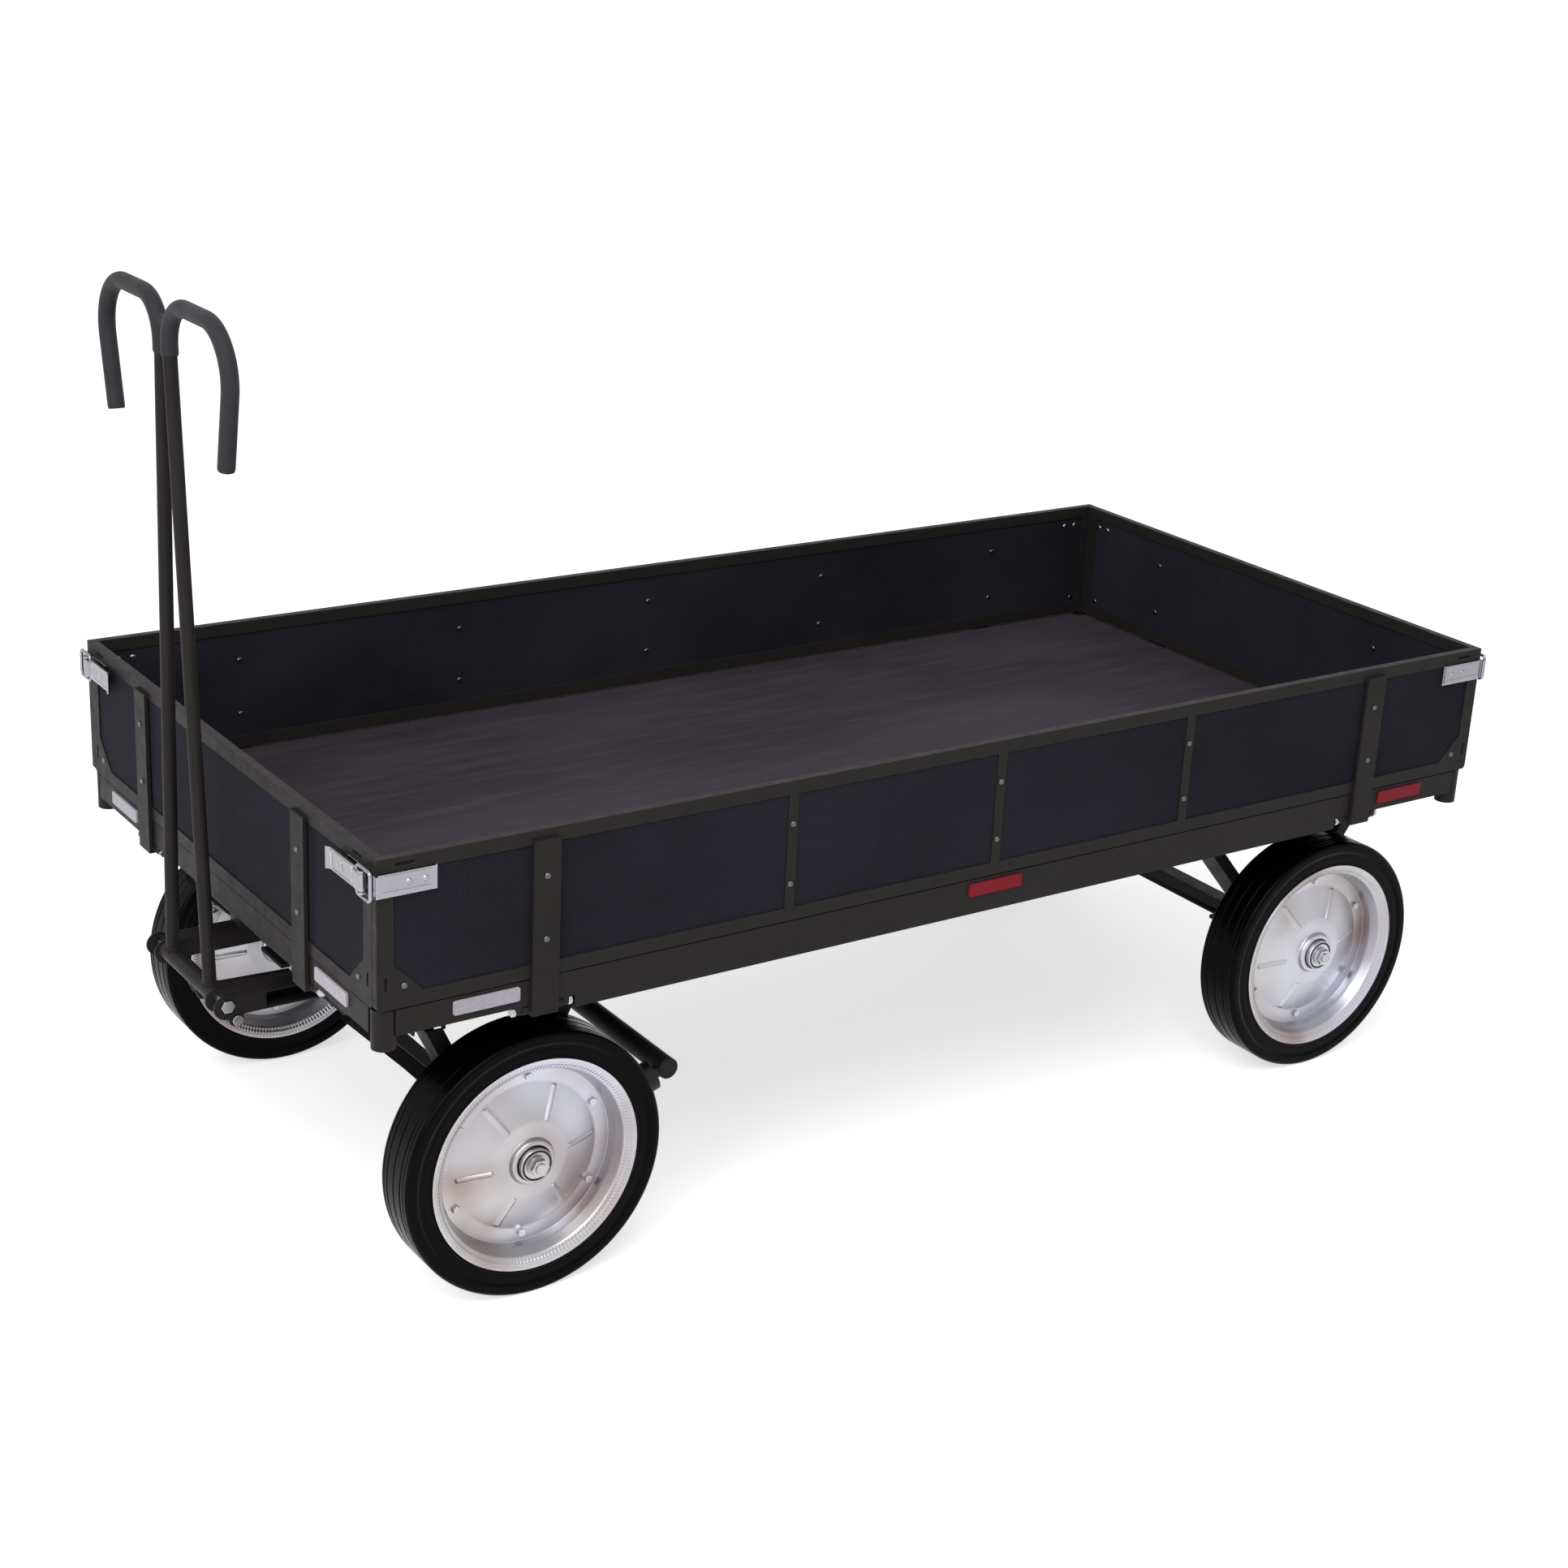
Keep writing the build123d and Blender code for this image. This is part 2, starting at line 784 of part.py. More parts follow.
def reflector_blocks(places):
    """Rounded blocks on the rail faces; each place is a wall and a position along it."""
    with BuildPart() as blocks:
        for wall, place in places:
            with BuildSketch(wall.face.offset(-rail_inset)):
                with Locations((place, rail_bottom + reflector_up)):
                    RectangleRounded(reflector[0], reflector[1], reflector_round)
            extrude(amount=reflector[2])
    return blocks.part


side_white_x = half_l - side_white_in
side_red_x = (mid_red_x, side_red_in - half_l)
end_reflector_y = half_w - end_reflector_in
white_places = [(left_wall, -side_white_x), (right_wall, side_white_x)]
white_places += [(front_wall, s * end_reflector_y) for s in (-1, 1)]
red_places = [(left_wall, -x) for x in side_red_x] + [(right_wall, x) for x in side_red_x]
red_places += [(rear_wall, s * end_reflector_y) for s in (-1, 1)]
save("reflectors_white", reflector_blocks(white_places))
save("reflectors_red", reflector_blocks(red_places))


def axle(x):
    """Square bar with turned stubs and threaded ends."""
    sizes = ((hub_half, stub_radius), (hub_half + thread_length, thread_radius))
    bar_half = wheel_mid - hub_half - axle_shoulder
    with BuildPart() as bar:
        with BuildSketch(along(bar_half)):
            with Locations((x, axle_z)):
                Rectangle(axle_bar, axle_bar)
        extrude(amount=2 * bar_half)
        for reach, radius in sizes:
            with BuildSketch(along(wheel_mid + reach)):
                with Locations((x, axle_z)):
                    Circle(radius)
            extrude(amount=2 * (wheel_mid + reach))
    return bar.part


def axle_nuts(x):
    """Washer and nut on both threaded ends."""
    washer_at = wheel_mid + hub_half + nut_gap
    nut_at = washer_at + washer[1]
    with BuildPart() as nuts:
        for side in (-1, 1):
            with BuildSketch(span(side, washer_at, nut_at)):
                with Locations((x, axle_z)):
                    Circle(washer[0])
                    Circle(thread_radius + hole_gap, mode=Mode.SUBTRACT)
            extrude(amount=washer[1])
            with BuildSketch(span(side, nut_at, nut_at + nut_thick)):
                with Locations((x, axle_z)):
                    RegularPolygon(nut_across / 2, 6, major_radius=False)
                    Circle(thread_radius + hole_gap, mode=Mode.SUBTRACT)
            extrude(amount=nut_thick)
    return nuts.part


save("rear_axle", axle(rear_axle_x))
save("rear_axle_nuts", axle_nuts(rear_axle_x))
save("front_axle", axle(front_axle_x))
save("front_axle_nuts", axle_nuts(front_axle_x))


def slant(top, foot_x, deep):
    """Outline of a bar that leans from its level top down to the saddle."""
    return [top, (top[0] + deep, top[1]), (foot_x + deep, saddle_top), (foot_x, saddle_top)]


def axle_stands(legs, brace_top, brace_foot, brace_deep):
    """Channel legs in a V on a saddle and a thin brace beside them, on both sides.

    Each leg is (top, foot x, way of its flanges).
    """
    feet = [foot for top, foot, way in legs] + [brace_foot]
    saddle_mid = (min(feet) + max(feet)) / 2
    saddle_length = max(feet) - min(feet) + 2 * saddle_margin
    with BuildPart() as stands:
        for side in (-1, 1):
            for top, foot, way in legs:
                with BuildSketch(span(side, leg_inner, leg_outer)):
                    Polygon(*slant(top, foot, way * leg_sheet))
                extrude(amount=leg_width)
                for inner in (leg_inner, leg_outer - leg_sheet):
                    with BuildSketch(span(side, inner, inner + leg_sheet)):
                        Polygon(*slant(top, foot, way * leg_depth))
                    extrude(amount=leg_sheet)
            with BuildSketch(span(side, brace_inner, leg_outer)):
                with Locations((saddle_mid, saddle_top - saddle_thick / 2)):
                    Rectangle(saddle_length, saddle_thick)
            extrude(amount=leg_outer - brace_inner)
            with BuildSketch(span(side, brace_inner, brace_inner + brace_width)):
                Polygon(*slant(brace_top, brace_foot, -brace_deep))
            extrude(amount=brace_width)
    return stands.part


rear_legs = [
    ((leg_member_x + leg_depth / 2, flange_top), rear_axle_x + rear_leg_foot, -1),
    ((rear_leg_head - half_l, rail_bottom), rear_axle_x - rear_leg_foot, 1),
]
rear_brace_top = (brace_member_x + rear_brace_deep / 2, flange_top)
rear_stands = axle_stands(rear_legs, rear_brace_top, rear_axle_x + rear_brace_foot, rear_brace_deep)
save("rear_stands", rear_stands)

front_legs = [
    ((front_axle_x + front_leg_head, arm_top), front_axle_x + front_leg_foot, -1),
    ((front_axle_x - front_leg_head, arm_top), front_axle_x - front_leg_foot, 1),
]
front_brace_top = (cross_bar_x + cross_bar_width / 2 + front_brace_ahead, cross_bar_low)
front_stands = axle_stands(front_legs, front_brace_top, front_axle_x + front_brace_foot, front_brace_deep)
save("front_stands", front_stands)

# Turntable: two rings, the upper one with a skirt round the lower one
with BuildPart() as turntable_upper:
    with BuildSketch(level(ring_split + ring_gap)):
        with Locations((front_axle_x, 0)):
            Circle(ring_radius + skirt)
            Circle(ring_bore, mode=Mode.SUBTRACT)
    extrude(amount=flange_top - ring_split - ring_gap)
    with BuildSketch(level(ring_low + skirt_lift)):
        with Locations((front_axle_x, 0)):
            Circle(ring_radius + skirt)
            Circle(ring_radius + skirt_gap, mode=Mode.SUBTRACT)
    extrude(amount=flange_top - ring_low - skirt_lift)
save("turntable_upper", turntable_upper.part)

with BuildPart() as turntable_lower:
    with BuildSketch(level(ring_low)):
        with Locations((front_axle_x, 0)):
            Circle(ring_radius)
            Circle(ring_bore, mode=Mode.SUBTRACT)
    extrude(amount=ring_split - ring_low)
save("turntable_lower", turntable_lower.part)

# Bogie frame: two channel bolsters under the ring, a front cross bar and a short tail bar
bolster_half = leg_outer + bolster_past
bars = (
    (cross_bar_x, cross_bar_width, brace_inner + brace_width, cross_bar_low),
    (brake_pivot_x, tail_bar_width, arm_outer, arm_top),
)
with BuildPart() as bogie_frame:
    with BuildSketch(along(bolster_half)):
        with Locations(*[(front_axle_x + s * bolster_offset, arm_top + bolster_high / 2) for s in (-1, 1)]):
            Rectangle(bolster_width, bolster_high)
        with Locations(
            *[(front_axle_x + s * bolster_offset, arm_top + bolster_high / 2 - bogie_sheet) for s in (-1, 1)]
        ):
            Rectangle(bolster_width - 2 * bogie_sheet, bolster_high, mode=Mode.SUBTRACT)
    extrude(amount=2 * bolster_half)
    for bar_x, bar_width, bar_half, bar_low in bars:
        with BuildSketch(along(bar_half)):
            with Locations((bar_x, bar_low + cross_bar_high / 2)):
                Rectangle(bar_width, cross_bar_high)
                Rectangle(
                    bar_width - 2 * bogie_sheet, cross_bar_high - 2 * bogie_sheet, mode=Mode.SUBTRACT
                )
        extrude(amount=2 * bar_half)
save("bogie_frame", bogie_frame.part)

# Arms: channels open outwards with a pad for the cross bar, closed by a cheek plate at the drawbar pivot
arm_rear = brake_pivot_x - arm_tail
arm_length = pivot_x - arm_rear
stop_at = (pivot_x - stop_back, pivot[1] - stop_down)
nose_radius = arm_high / 2 + nose_margin
with BuildPart() as bogie_arms:
    for side in (-1, 1):
        with BuildSketch(span(side, arm_inner, arm_outer)):
            with Locations(((arm_rear + pivot_x) / 2, arm_mid)):
                Rectangle(arm_length, arm_high)
                Rectangle(arm_length, arm_high - 2 * bogie_sheet, mode=Mode.SUBTRACT)
            with Locations((cross_bar_x, arm_top + cross_bar_lift / 2)):
                Rectangle(cross_bar_width, cross_bar_lift)
        extrude(amount=arm_outer - arm_inner)
        with BuildSketch(span(side, arm_inner, arm_inner + bogie_sheet)):
            with Locations(((arm_rear + pivot_x) / 2, arm_mid)):
                Rectangle(arm_length, arm_high)
            with Locations((pivot_x, arm_mid)):
                Circle(nose_radius)
            with Locations(pivot, brake_pivot):
                Circle(pivot_bolt + hole_gap, mode=Mode.SUBTRACT)
        extrude(amount=bogie_sheet)
        with BuildSketch(span(side, arm_outer - bogie_sheet, arm_outer)):
            with Locations((pivot_x - cheek_length / 2, arm_mid)):
                Rectangle(cheek_length, arm_high)
            with Locations((pivot_x, arm_mid)):
                Circle(nose_radius)
            with Locations((stop_at[0], (stop_at[1] + arm_mid) / 2)):
                Rectangle(2 * stop_ear, arm_mid - stop_at[1])
            with Locations(stop_at):
                Circle(stop_ear)
                Circle(stop_bolt + hole_gap, mode=Mode.SUBTRACT)
            with Locations(pivot):
                Circle(pivot_bolt + hole_gap, mode=Mode.SUBTRACT)
        extrude(amount=bogie_sheet)
save("bogie_arms", bogie_arms.part)

# Bolts of the bogie: the drawbar pivot, the brake pivot and a stop bolt in either cheek
with BuildPart() as bogie_bolts:
    for centre, reach in ((pivot, arm_outer), (brake_pivot, arm_inner + bogie_sheet)):
        with BuildSketch(along(reach)):
            with Locations(centre):
                Circle(pivot_bolt)
        extrude(amount=2 * reach)
        for side in (-1, 1):
            with BuildSketch(span(side, reach, reach + pivot_hex[1])):
                with Locations(centre):
                    RegularPolygon(pivot_hex[0], 6)
            extrude(amount=pivot_hex[1])
    for side in (-1, 1):
        with BuildSketch(span(side, arm_outer - stop_tail, arm_outer)):
            with Locations(stop_at):
                Circle(stop_bolt)
        extrude(amount=stop_tail)
        with BuildSketch(span(side, arm_outer, arm_outer + stop_head[1])):
            with Locations(stop_at):
                Circle(stop_head[0])
        extrude(amount=stop_head[1])
save("bogie_bolts", bogie_bolts.part)

# Drawbar: cross tube, two bent tubes that end in horns, and the brake crank
bar_plane = Plane(
    origin=(at(pivot_x), 0, pivot[1]),
    x_dir=(0, 1, 0),
    z_dir=(cos(radians(lean)), 0, -sin(radians(lean))),
)
neck_slope = (neck_half - foot_half) / neck_at
neck_corner = foot_half + neck_slope * horn_top
horn_length = hypot(horn_toe, horn_drop)
horn_end = (horn_reach - horn_toe, horn_top - horn_drop)
tube_end = (
    horn_end[0] + grip_cap * horn_toe / horn_length,
    horn_end[1] + grip_cap * horn_drop / horn_length,
)
crank_at = (pivot_x - crank_back, pivot[1] - crank_down)


def horn_bar(side, start, finish, radius):
    """Round bar along one side's path in the drawbar's plane, from the neck round to the horn's end."""
    origin = bar_plane.from_local_coords(Vector(side * start[0], start[1], 0))
    ahead = bar_plane.from_local_coords(Vector(side * (start[0] + neck_slope), start[1] + 1, 0))
    with BuildPart() as bar:
        with BuildLine(bar_plane):
            FilletPolyline(
                (side * start[0], start[1]),
                (side * neck_corner, horn_top),
                (side * horn_reach, horn_top),
                (side * finish[0], finish[1]),
                radius=horn_bends,
            )
        with BuildSketch(Plane(origin=origin, z_dir=ahead - origin)):
            Circle(radius)
        sweep()
    return bar.part


with BuildPart() as drawbar_frame:
    for side in (-1, 1):
        add(horn_bar(side, (foot_half, 0), tube_end, tube_radius))
    with BuildSketch(along(cross_tube_half)):
        with Locations(pivot):
            Circle(cross_tube)
    extrude(amount=2 * cross_tube_half)
    for side in (-1, 1):
        with BuildSketch(span(side, plate_inner, plate_inner + plate_thick)):
            with BuildLine():
                Line(pivot, crank_at)
            trace(line_width=2 * (crank_pin + crank_wall))
            with Locations(crank_at):
                Circle(crank_pin + crank_wall)
        extrude(amount=plate_thick)
    with BuildSketch(along(plate_inner + plate_thick)):
        with Locations(crank_at):
            Circle(crank_pin)
    extrude(amount=2 * (plate_inner + plate_thick))
    with BuildSketch(along(cross_tube_half)):
        with Locations(pivot):
            Circle(pivot_bolt + running_gap)
    extrude(amount=2 * cross_tube_half, mode=Mode.SUBTRACT)
save("drawbar_frame", drawbar_frame.part)


# Soft sleeves over both horns, closed at their ends and joined by a web between the necks
sleeve_start = (neck_half, neck_at)
with BuildPart() as drawbar_grips:
    for side in (-1, 1):
        add(horn_bar(side, sleeve_start, horn_end, grip_radius))
    with BuildSketch(bar_plane.offset(-grip_web[2] / 2)):
        Polygon(
            (-neck_half, neck_at),
            (neck_half, neck_at),
            (grip_web[0], neck_at + grip_web[1]),
            (-grip_web[0], neck_at + grip_web[1]),
        )
    extrude(amount=grip_web[2])
    for side in (-1, 1):
        add(horn_bar(side, sleeve_start, tube_end, tube_radius + grip_gap), mode=Mode.SUBTRACT)
save("drawbar_grips", drawbar_grips.part)

# Brake bar on hangers, with two lever plates and the pin for the rod
brake_bar_at = (brake_pivot_x - brake_bar_back, brake_pivot[1] - brake_bar_down)
lever_pin_at = (brake_pivot_x, brake_pivot[1] - brake_lever)
brake_plates = ((plate_inner, plate_thick), (hanger_at - hanger_thick / 2, hanger_thick))
with BuildPart() as brake_bar:
    with BuildSketch(along(brake_bar_half)):
        with Locations(brake_bar_at):
            Circle(brake_bar_radius)
    extrude(amount=2 * brake_bar_half)
    for side in (-1, 1):
        for inner, thick in brake_plates:
            with BuildSketch(span(side, inner, inner + thick)):
                with BuildLine():
                    Line(brake_pivot, brake_bar_at)
                trace(line_width=hanger_width)
                with Locations(brake_pivot):
                    Circle(brake_eye)
            extrude(amount=thick)
    with BuildSketch(along(plate_inner + plate_thick)):
        with Locations(lever_pin_at):
            Circle(crank_pin)
    extrude(amount=2 * (plate_inner + plate_thick))
    with BuildSketch(along(arm_inner)):
        with Locations(brake_pivot):
            Circle(pivot_bolt + running_gap)
    extrude(amount=2 * arm_inner, mode=Mode.SUBTRACT)
save("brake_bar", brake_bar.part)

# Rubber pads on stems, pointing from the bar at the axle
pad_way = (front_axle_x - brake_bar_at[0], axle_z - brake_bar_at[1])
pad_reach = hypot(*pad_way) - wheel_radius - pad_gap
with BuildPart() as brake_pads:
    for side in (-1, 1):
        pad_plane = Plane(
            origin=(at(brake_bar_at[0]), side * wheel_mid, brake_bar_at[1]),
            x_dir=(0, 1, 0),
            z_dir=(pad_way[0], 0, pad_way[1]),
        )
        with BuildSketch(pad_plane.offset(pad_reach - pad_thick)):
            Circle(pad_radius)
        extrude(amount=pad_thick)
        with BuildSketch(pad_plane):
            Circle(pad_stem)
        extrude(amount=pad_reach - pad_thick)
        with BuildSketch(along(side * wheel_mid + pad_radius)):
            with Locations(brake_bar_at):
                Circle(brake_bar_radius + hole_gap)
        extrude(amount=2 * pad_radius, mode=Mode.SUBTRACT)
save("brake_pads", brake_pads.part)

# Push rod with an eye on the brake lever and an open fork round the crank pin
rod_way = (crank_at[0] - lever_pin_at[0], crank_at[1] - lever_pin_at[1])
rod_length = hypot(*rod_way)
rod_plane = Plane(
    origin=(at(lever_pin_at[0]), rod_thick / 2, lever_pin_at[1]),
    x_dir=(rod_way[0], 0, rod_way[1]),
    z_dir=(0, -1, 0),
)
fork_mid = (fork_over - fork_under) / 2
fork_back_end = rod_length - fork_back
fork_length = fork_back + fork_front
with BuildPart() as brake_rod:
    with BuildSketch(rod_plane):
        Circle(rod_eye)
        with Locations((fork_back_end / 2, 0)):
            Rectangle(fork_back_end, rod_high)
        with Locations((fork_back_end + fork_length / 2 - fork_wall, fork_mid)):
            Rectangle(fork_length + 2 * fork_wall, fork_under + fork_over + 2 * fork_wall)
        with Locations((fork_back_end + fork_length, fork_mid)):
            Rectangle(2 * fork_length, fork_under + fork_over, mode=Mode.SUBTRACT)
        Circle(crank_pin + running_gap, mode=Mode.SUBTRACT)
    extrude(amount=rod_thick)
save("brake_rod", brake_rod.part)

# Rim halves: a pressed sheet along this line, from the flange at the tyre in to the hub
rim_edge = (wheel_width - rim_sheet) / 2 - rim_edge_in
ring_face = rim_sheet / 2 + hole_gap / 2
cone_foot = (rim_bolt_circle - cone_foot_in, ring_face)
cone_head = (hub_radius + cone_head_out, dish_rise)
flange_line = [
    (seat_radius, ring_face),
    (seat_radius + well_top[0], rim_edge - well_top[1]),
    (seat_radius + well_round[0], rim_edge - well_round[1]),
    (rim_radius - bead_foot[0], rim_edge - bead_foot[1]),
    (rim_radius - bead_in[0], rim_edge - bead_deep),
    (rim_radius - bead_in[1], rim_edge - bead_deep),
    (rim_radius - rim_edge_wide, rim_edge),
    (rim_radius - rim_sheet / 2, rim_edge),
]
hub_line = [
    (hub_radius + rim_sheet / 2 + hole_gap, collar_rise),
    (hub_radius + collar_out, collar_rise),
    (hub_radius + collar_foot[0], dish_rise + collar_foot[1]),
    cone_head,
    cone_foot,
]
cone_length = hypot(cone_foot[0] - cone_head[0], cone_head[1] - cone_foot[1])
cone_mid = ((cone_foot[0] + cone_head[0]) / 2, (cone_foot[1] + cone_head[1]) / 2)
cone_up = ((cone_head[1] - cone_foot[1]) / cone_length, (cone_foot[0] - cone_head[0]) / cone_length)


def wheel_plane(centre):
    """Plane in the middle of a wheel, across its axle."""
    return Plane(origin=centre, x_dir=(1, 0, 0), z_dir=(0, -1, 0))


def wheel_section(centre, side):
    """Plane through the axle: sketch x is the radius, sketch y is along the axle towards side."""
    return Plane(origin=centre, x_dir=(1, 0, 0), z_dir=(0, 0, side))


def rim_half(centre, side):
    """One pressed half of the rim, dished towards side, with radial ribs on its cone."""
    out = Vector(0, side, 0)
    with BuildPart() as half:
        with BuildSketch(wheel_section(centre, side)):
            with BuildLine():
                FilletPolyline(*hub_line, *flange_line, radius=rim_bend)
                offset(amount=rim_sheet / 2)
            make_face()
        revolve(axis=Axis(centre, (0, side, 0)))
        for turn in range(rim_bolts):
            angle = radians(rib_phase + turn * 360 / rim_bolts)
            spoke = Vector(cos(angle), 0, sin(angle))
            rib_plane = Plane(
                origin=centre + spoke * cone_mid[0] + out * cone_mid[1],
                x_dir=spoke * cone_up[1] - out * cone_up[0],
                z_dir=spoke * cone_up[0] + out * cone_up[1],
            )
            with BuildSketch(rib_plane):
                SlotOverall(cone_length - 2 * rib_margin, rib_width)
            extrude(amount=rim_sheet / 2 + rib_high, taper=rib_taper)
        with BuildSketch(wheel_plane(centre).offset(-wheel_width / 2)):
            with PolarLocations(rim_bolt_circle, rim_bolts, start_angle=bolt_phase):
                Circle(rim_bolt + hole_gap)
        extrude(amount=wheel_width, mode=Mode.SUBTRACT)
    return half.part


def wheel_tyre(centre, side):
    """Solid tyre that fills the space between the rim's flanges, with grooves round its tread."""
    spin = Axis(centre, (0, side, 0))
    seat = flange_line[:-1] + [(rim_radius, rim_edge)]
    with BuildPart() as tyre:
        with BuildSketch(wheel_section(centre, side)) as body:
            Polygon(*seat, *[(r, -y) for r, y in reversed(seat)])
            with Locations(((rim_radius + wheel_radius) / 2, 0)):
                Rectangle(wheel_radius - rim_radius, wheel_width)
            fillet(body.vertices().group_by(Axis.X)[-1], radius=shoulder)
            with Locations(*[(wheel_radius, k * groove_pitch) for k in (-1, 0, 1)]):
                Rectangle(2 * tread_groove[1], tread_groove[0], mode=Mode.SUBTRACT)
        revolve(axis=spin)
        for way in (-1, 1):
            with BuildSketch(wheel_section(centre, way)):
                with BuildLine():
                    FilletPolyline(*hub_line, *flange_line, radius=rim_bend)
                    offset(amount=rim_sheet / 2 + rim_gap)
                make_face()
            revolve(axis=spin, mode=Mode.SUBTRACT)
    return tyre.part


def wheel_hub(centre):
    """Plain hub tube that runs on the axle stub."""
    with BuildPart() as hub:
        with BuildSketch(wheel_plane(centre).offset(-hub_half)):
            Circle(hub_radius)
            Circle(stub_radius + running_gap / 2, mode=Mode.SUBTRACT)
        extrude(amount=2 * hub_half)
    return hub.part


def wheel_bolts(centre):
    """Hexagon bolts with nuts that hold the rim halves together."""
    seat = rim_sheet + hole_gap
    places = PolarLocations(rim_bolt_circle, rim_bolts, start_angle=bolt_phase)
    with BuildPart() as bolts:
        for start in (-seat - rim_bolt_high, seat):
            with BuildSketch(wheel_plane(centre).offset(start)):
                with places:
                    RegularPolygon(rim_bolt_hex, 6)
            extrude(amount=rim_bolt_high)
        with BuildSketch(wheel_plane(centre).offset(-seat)):
            with places:
                Circle(rim_bolt)
        extrude(amount=2 * seat)
    return bolts.part


for end, axle_x in (("front", front_axle_x), ("rear", rear_axle_x)):
    for hand, side in (("left", 1), ("right", -1)):
        centre = Vector(at(axle_x), side * wheel_mid, axle_z)
        rim_pieces = [rim_half(centre, 1), rim_half(centre, -1), wheel_hub(centre)]
        save(f"{end}_{hand}_tyre", wheel_tyre(centre, side))
        save(f"{end}_{hand}_rim", Compound(children=rim_pieces))
        save(f"{end}_{hand}_rim_bolts", wheel_bolts(centre))
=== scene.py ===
"""Dresses the platform hand cart: finishes for its solids and surfaces worked out with numpy."""
import json

import bmesh
import bpy
import numpy as np
from mathutils import Matrix, Vector


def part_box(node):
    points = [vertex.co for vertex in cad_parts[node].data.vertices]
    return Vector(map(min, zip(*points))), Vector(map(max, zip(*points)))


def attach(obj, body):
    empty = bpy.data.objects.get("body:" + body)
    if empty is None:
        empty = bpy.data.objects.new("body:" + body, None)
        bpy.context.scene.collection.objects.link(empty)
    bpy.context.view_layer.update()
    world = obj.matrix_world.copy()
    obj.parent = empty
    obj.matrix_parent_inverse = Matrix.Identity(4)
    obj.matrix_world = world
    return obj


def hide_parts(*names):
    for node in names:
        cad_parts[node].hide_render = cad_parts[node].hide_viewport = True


bl_info = {
    "name": "Platform Hand Cart",
    "version": (1, 0, 0),
    "blender": (4, 5, 0),
    "location": "View3D > Sidebar > Cart",
    "description": "Finishes and fine surfaces for a platform hand cart",
    "category": "Object",
}

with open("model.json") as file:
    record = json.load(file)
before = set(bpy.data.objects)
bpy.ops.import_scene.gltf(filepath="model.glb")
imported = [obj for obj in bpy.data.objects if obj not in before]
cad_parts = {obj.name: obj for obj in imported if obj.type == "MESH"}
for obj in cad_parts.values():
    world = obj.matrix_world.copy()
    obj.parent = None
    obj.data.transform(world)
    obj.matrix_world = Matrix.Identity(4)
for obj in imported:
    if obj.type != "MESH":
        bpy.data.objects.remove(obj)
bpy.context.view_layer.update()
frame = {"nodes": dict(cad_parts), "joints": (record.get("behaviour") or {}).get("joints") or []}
NODES = frame["nodes"]
TURN = 2 * np.pi
MM = 0.001
WHEELS = [f"{end}_{hand}" for end in ("front", "rear") for hand in ("left", "right")]
WALLS = ("left_wall", "right_wall", "front_wall", "rear_wall")
SIDES = ((1, "left"), (-1, "right"))
TYRE_SAMPLES, TYRE_TURNS = 420, 216
RIM_SAMPLES, RIM_TURNS = 160, 288
HUB_SAMPLES, HUB_TURNS = 90, 96
SEAL_SAMPLES, SEAL_TURNS = 20, 64
SHOULDER_SAMPLES, ARC_SAMPLES = 12, 24
WEB_SAMPLES, SLEEVE_TURNS = 24, 48
SEAM_SAMPLES, RING_SAMPLES, HANGER_SAMPLES, BEAD_TURNS = 60, 120, 40, 10
MARK_SAMPLES = 16


def number(name, about, default, **kind):
    """A number property."""
    return bpy.props.FloatProperty(name=name, description=about, default=default, **kind)


def numbers(name, about, default, **kind):
    """A property of several numbers."""
    return bpy.props.FloatVectorProperty(
        name=name, description=about, default=default, size=len(default), **kind
    )


def length(name, about, default):
    """A length in metres, given in millimetres."""
    return number(name, about, default * MM, unit="LENGTH", precision=5)


def offsets(name, about, default):
    """Several lengths in metres, given in millimetres."""
    return numbers(name, about, [MM * part for part in default], unit="LENGTH", precision=5)


def count(name, about, default):
    """A whole number of like features."""
    return bpy.props.IntProperty(name=name, description=about, default=default, min=3)


def share(name, about, default):
    """A number from 0 to 1."""
    return number(name, about, default, min=0, max=1, subtype="FACTOR")


def angle(name, about, default):
    """An angle, given in degrees."""
    return number(name, about, np.radians(default), subtype="ANGLE")


def spot(name, about, default):
    """A place in the part's frame, in metres."""
    return numbers(name, about, default, subtype="TRANSLATION")


def paint(name, about, default):
    """A colour in linear red, green and blue."""
    return numbers(name, about, default, min=0, max=1, subtype="COLOR")


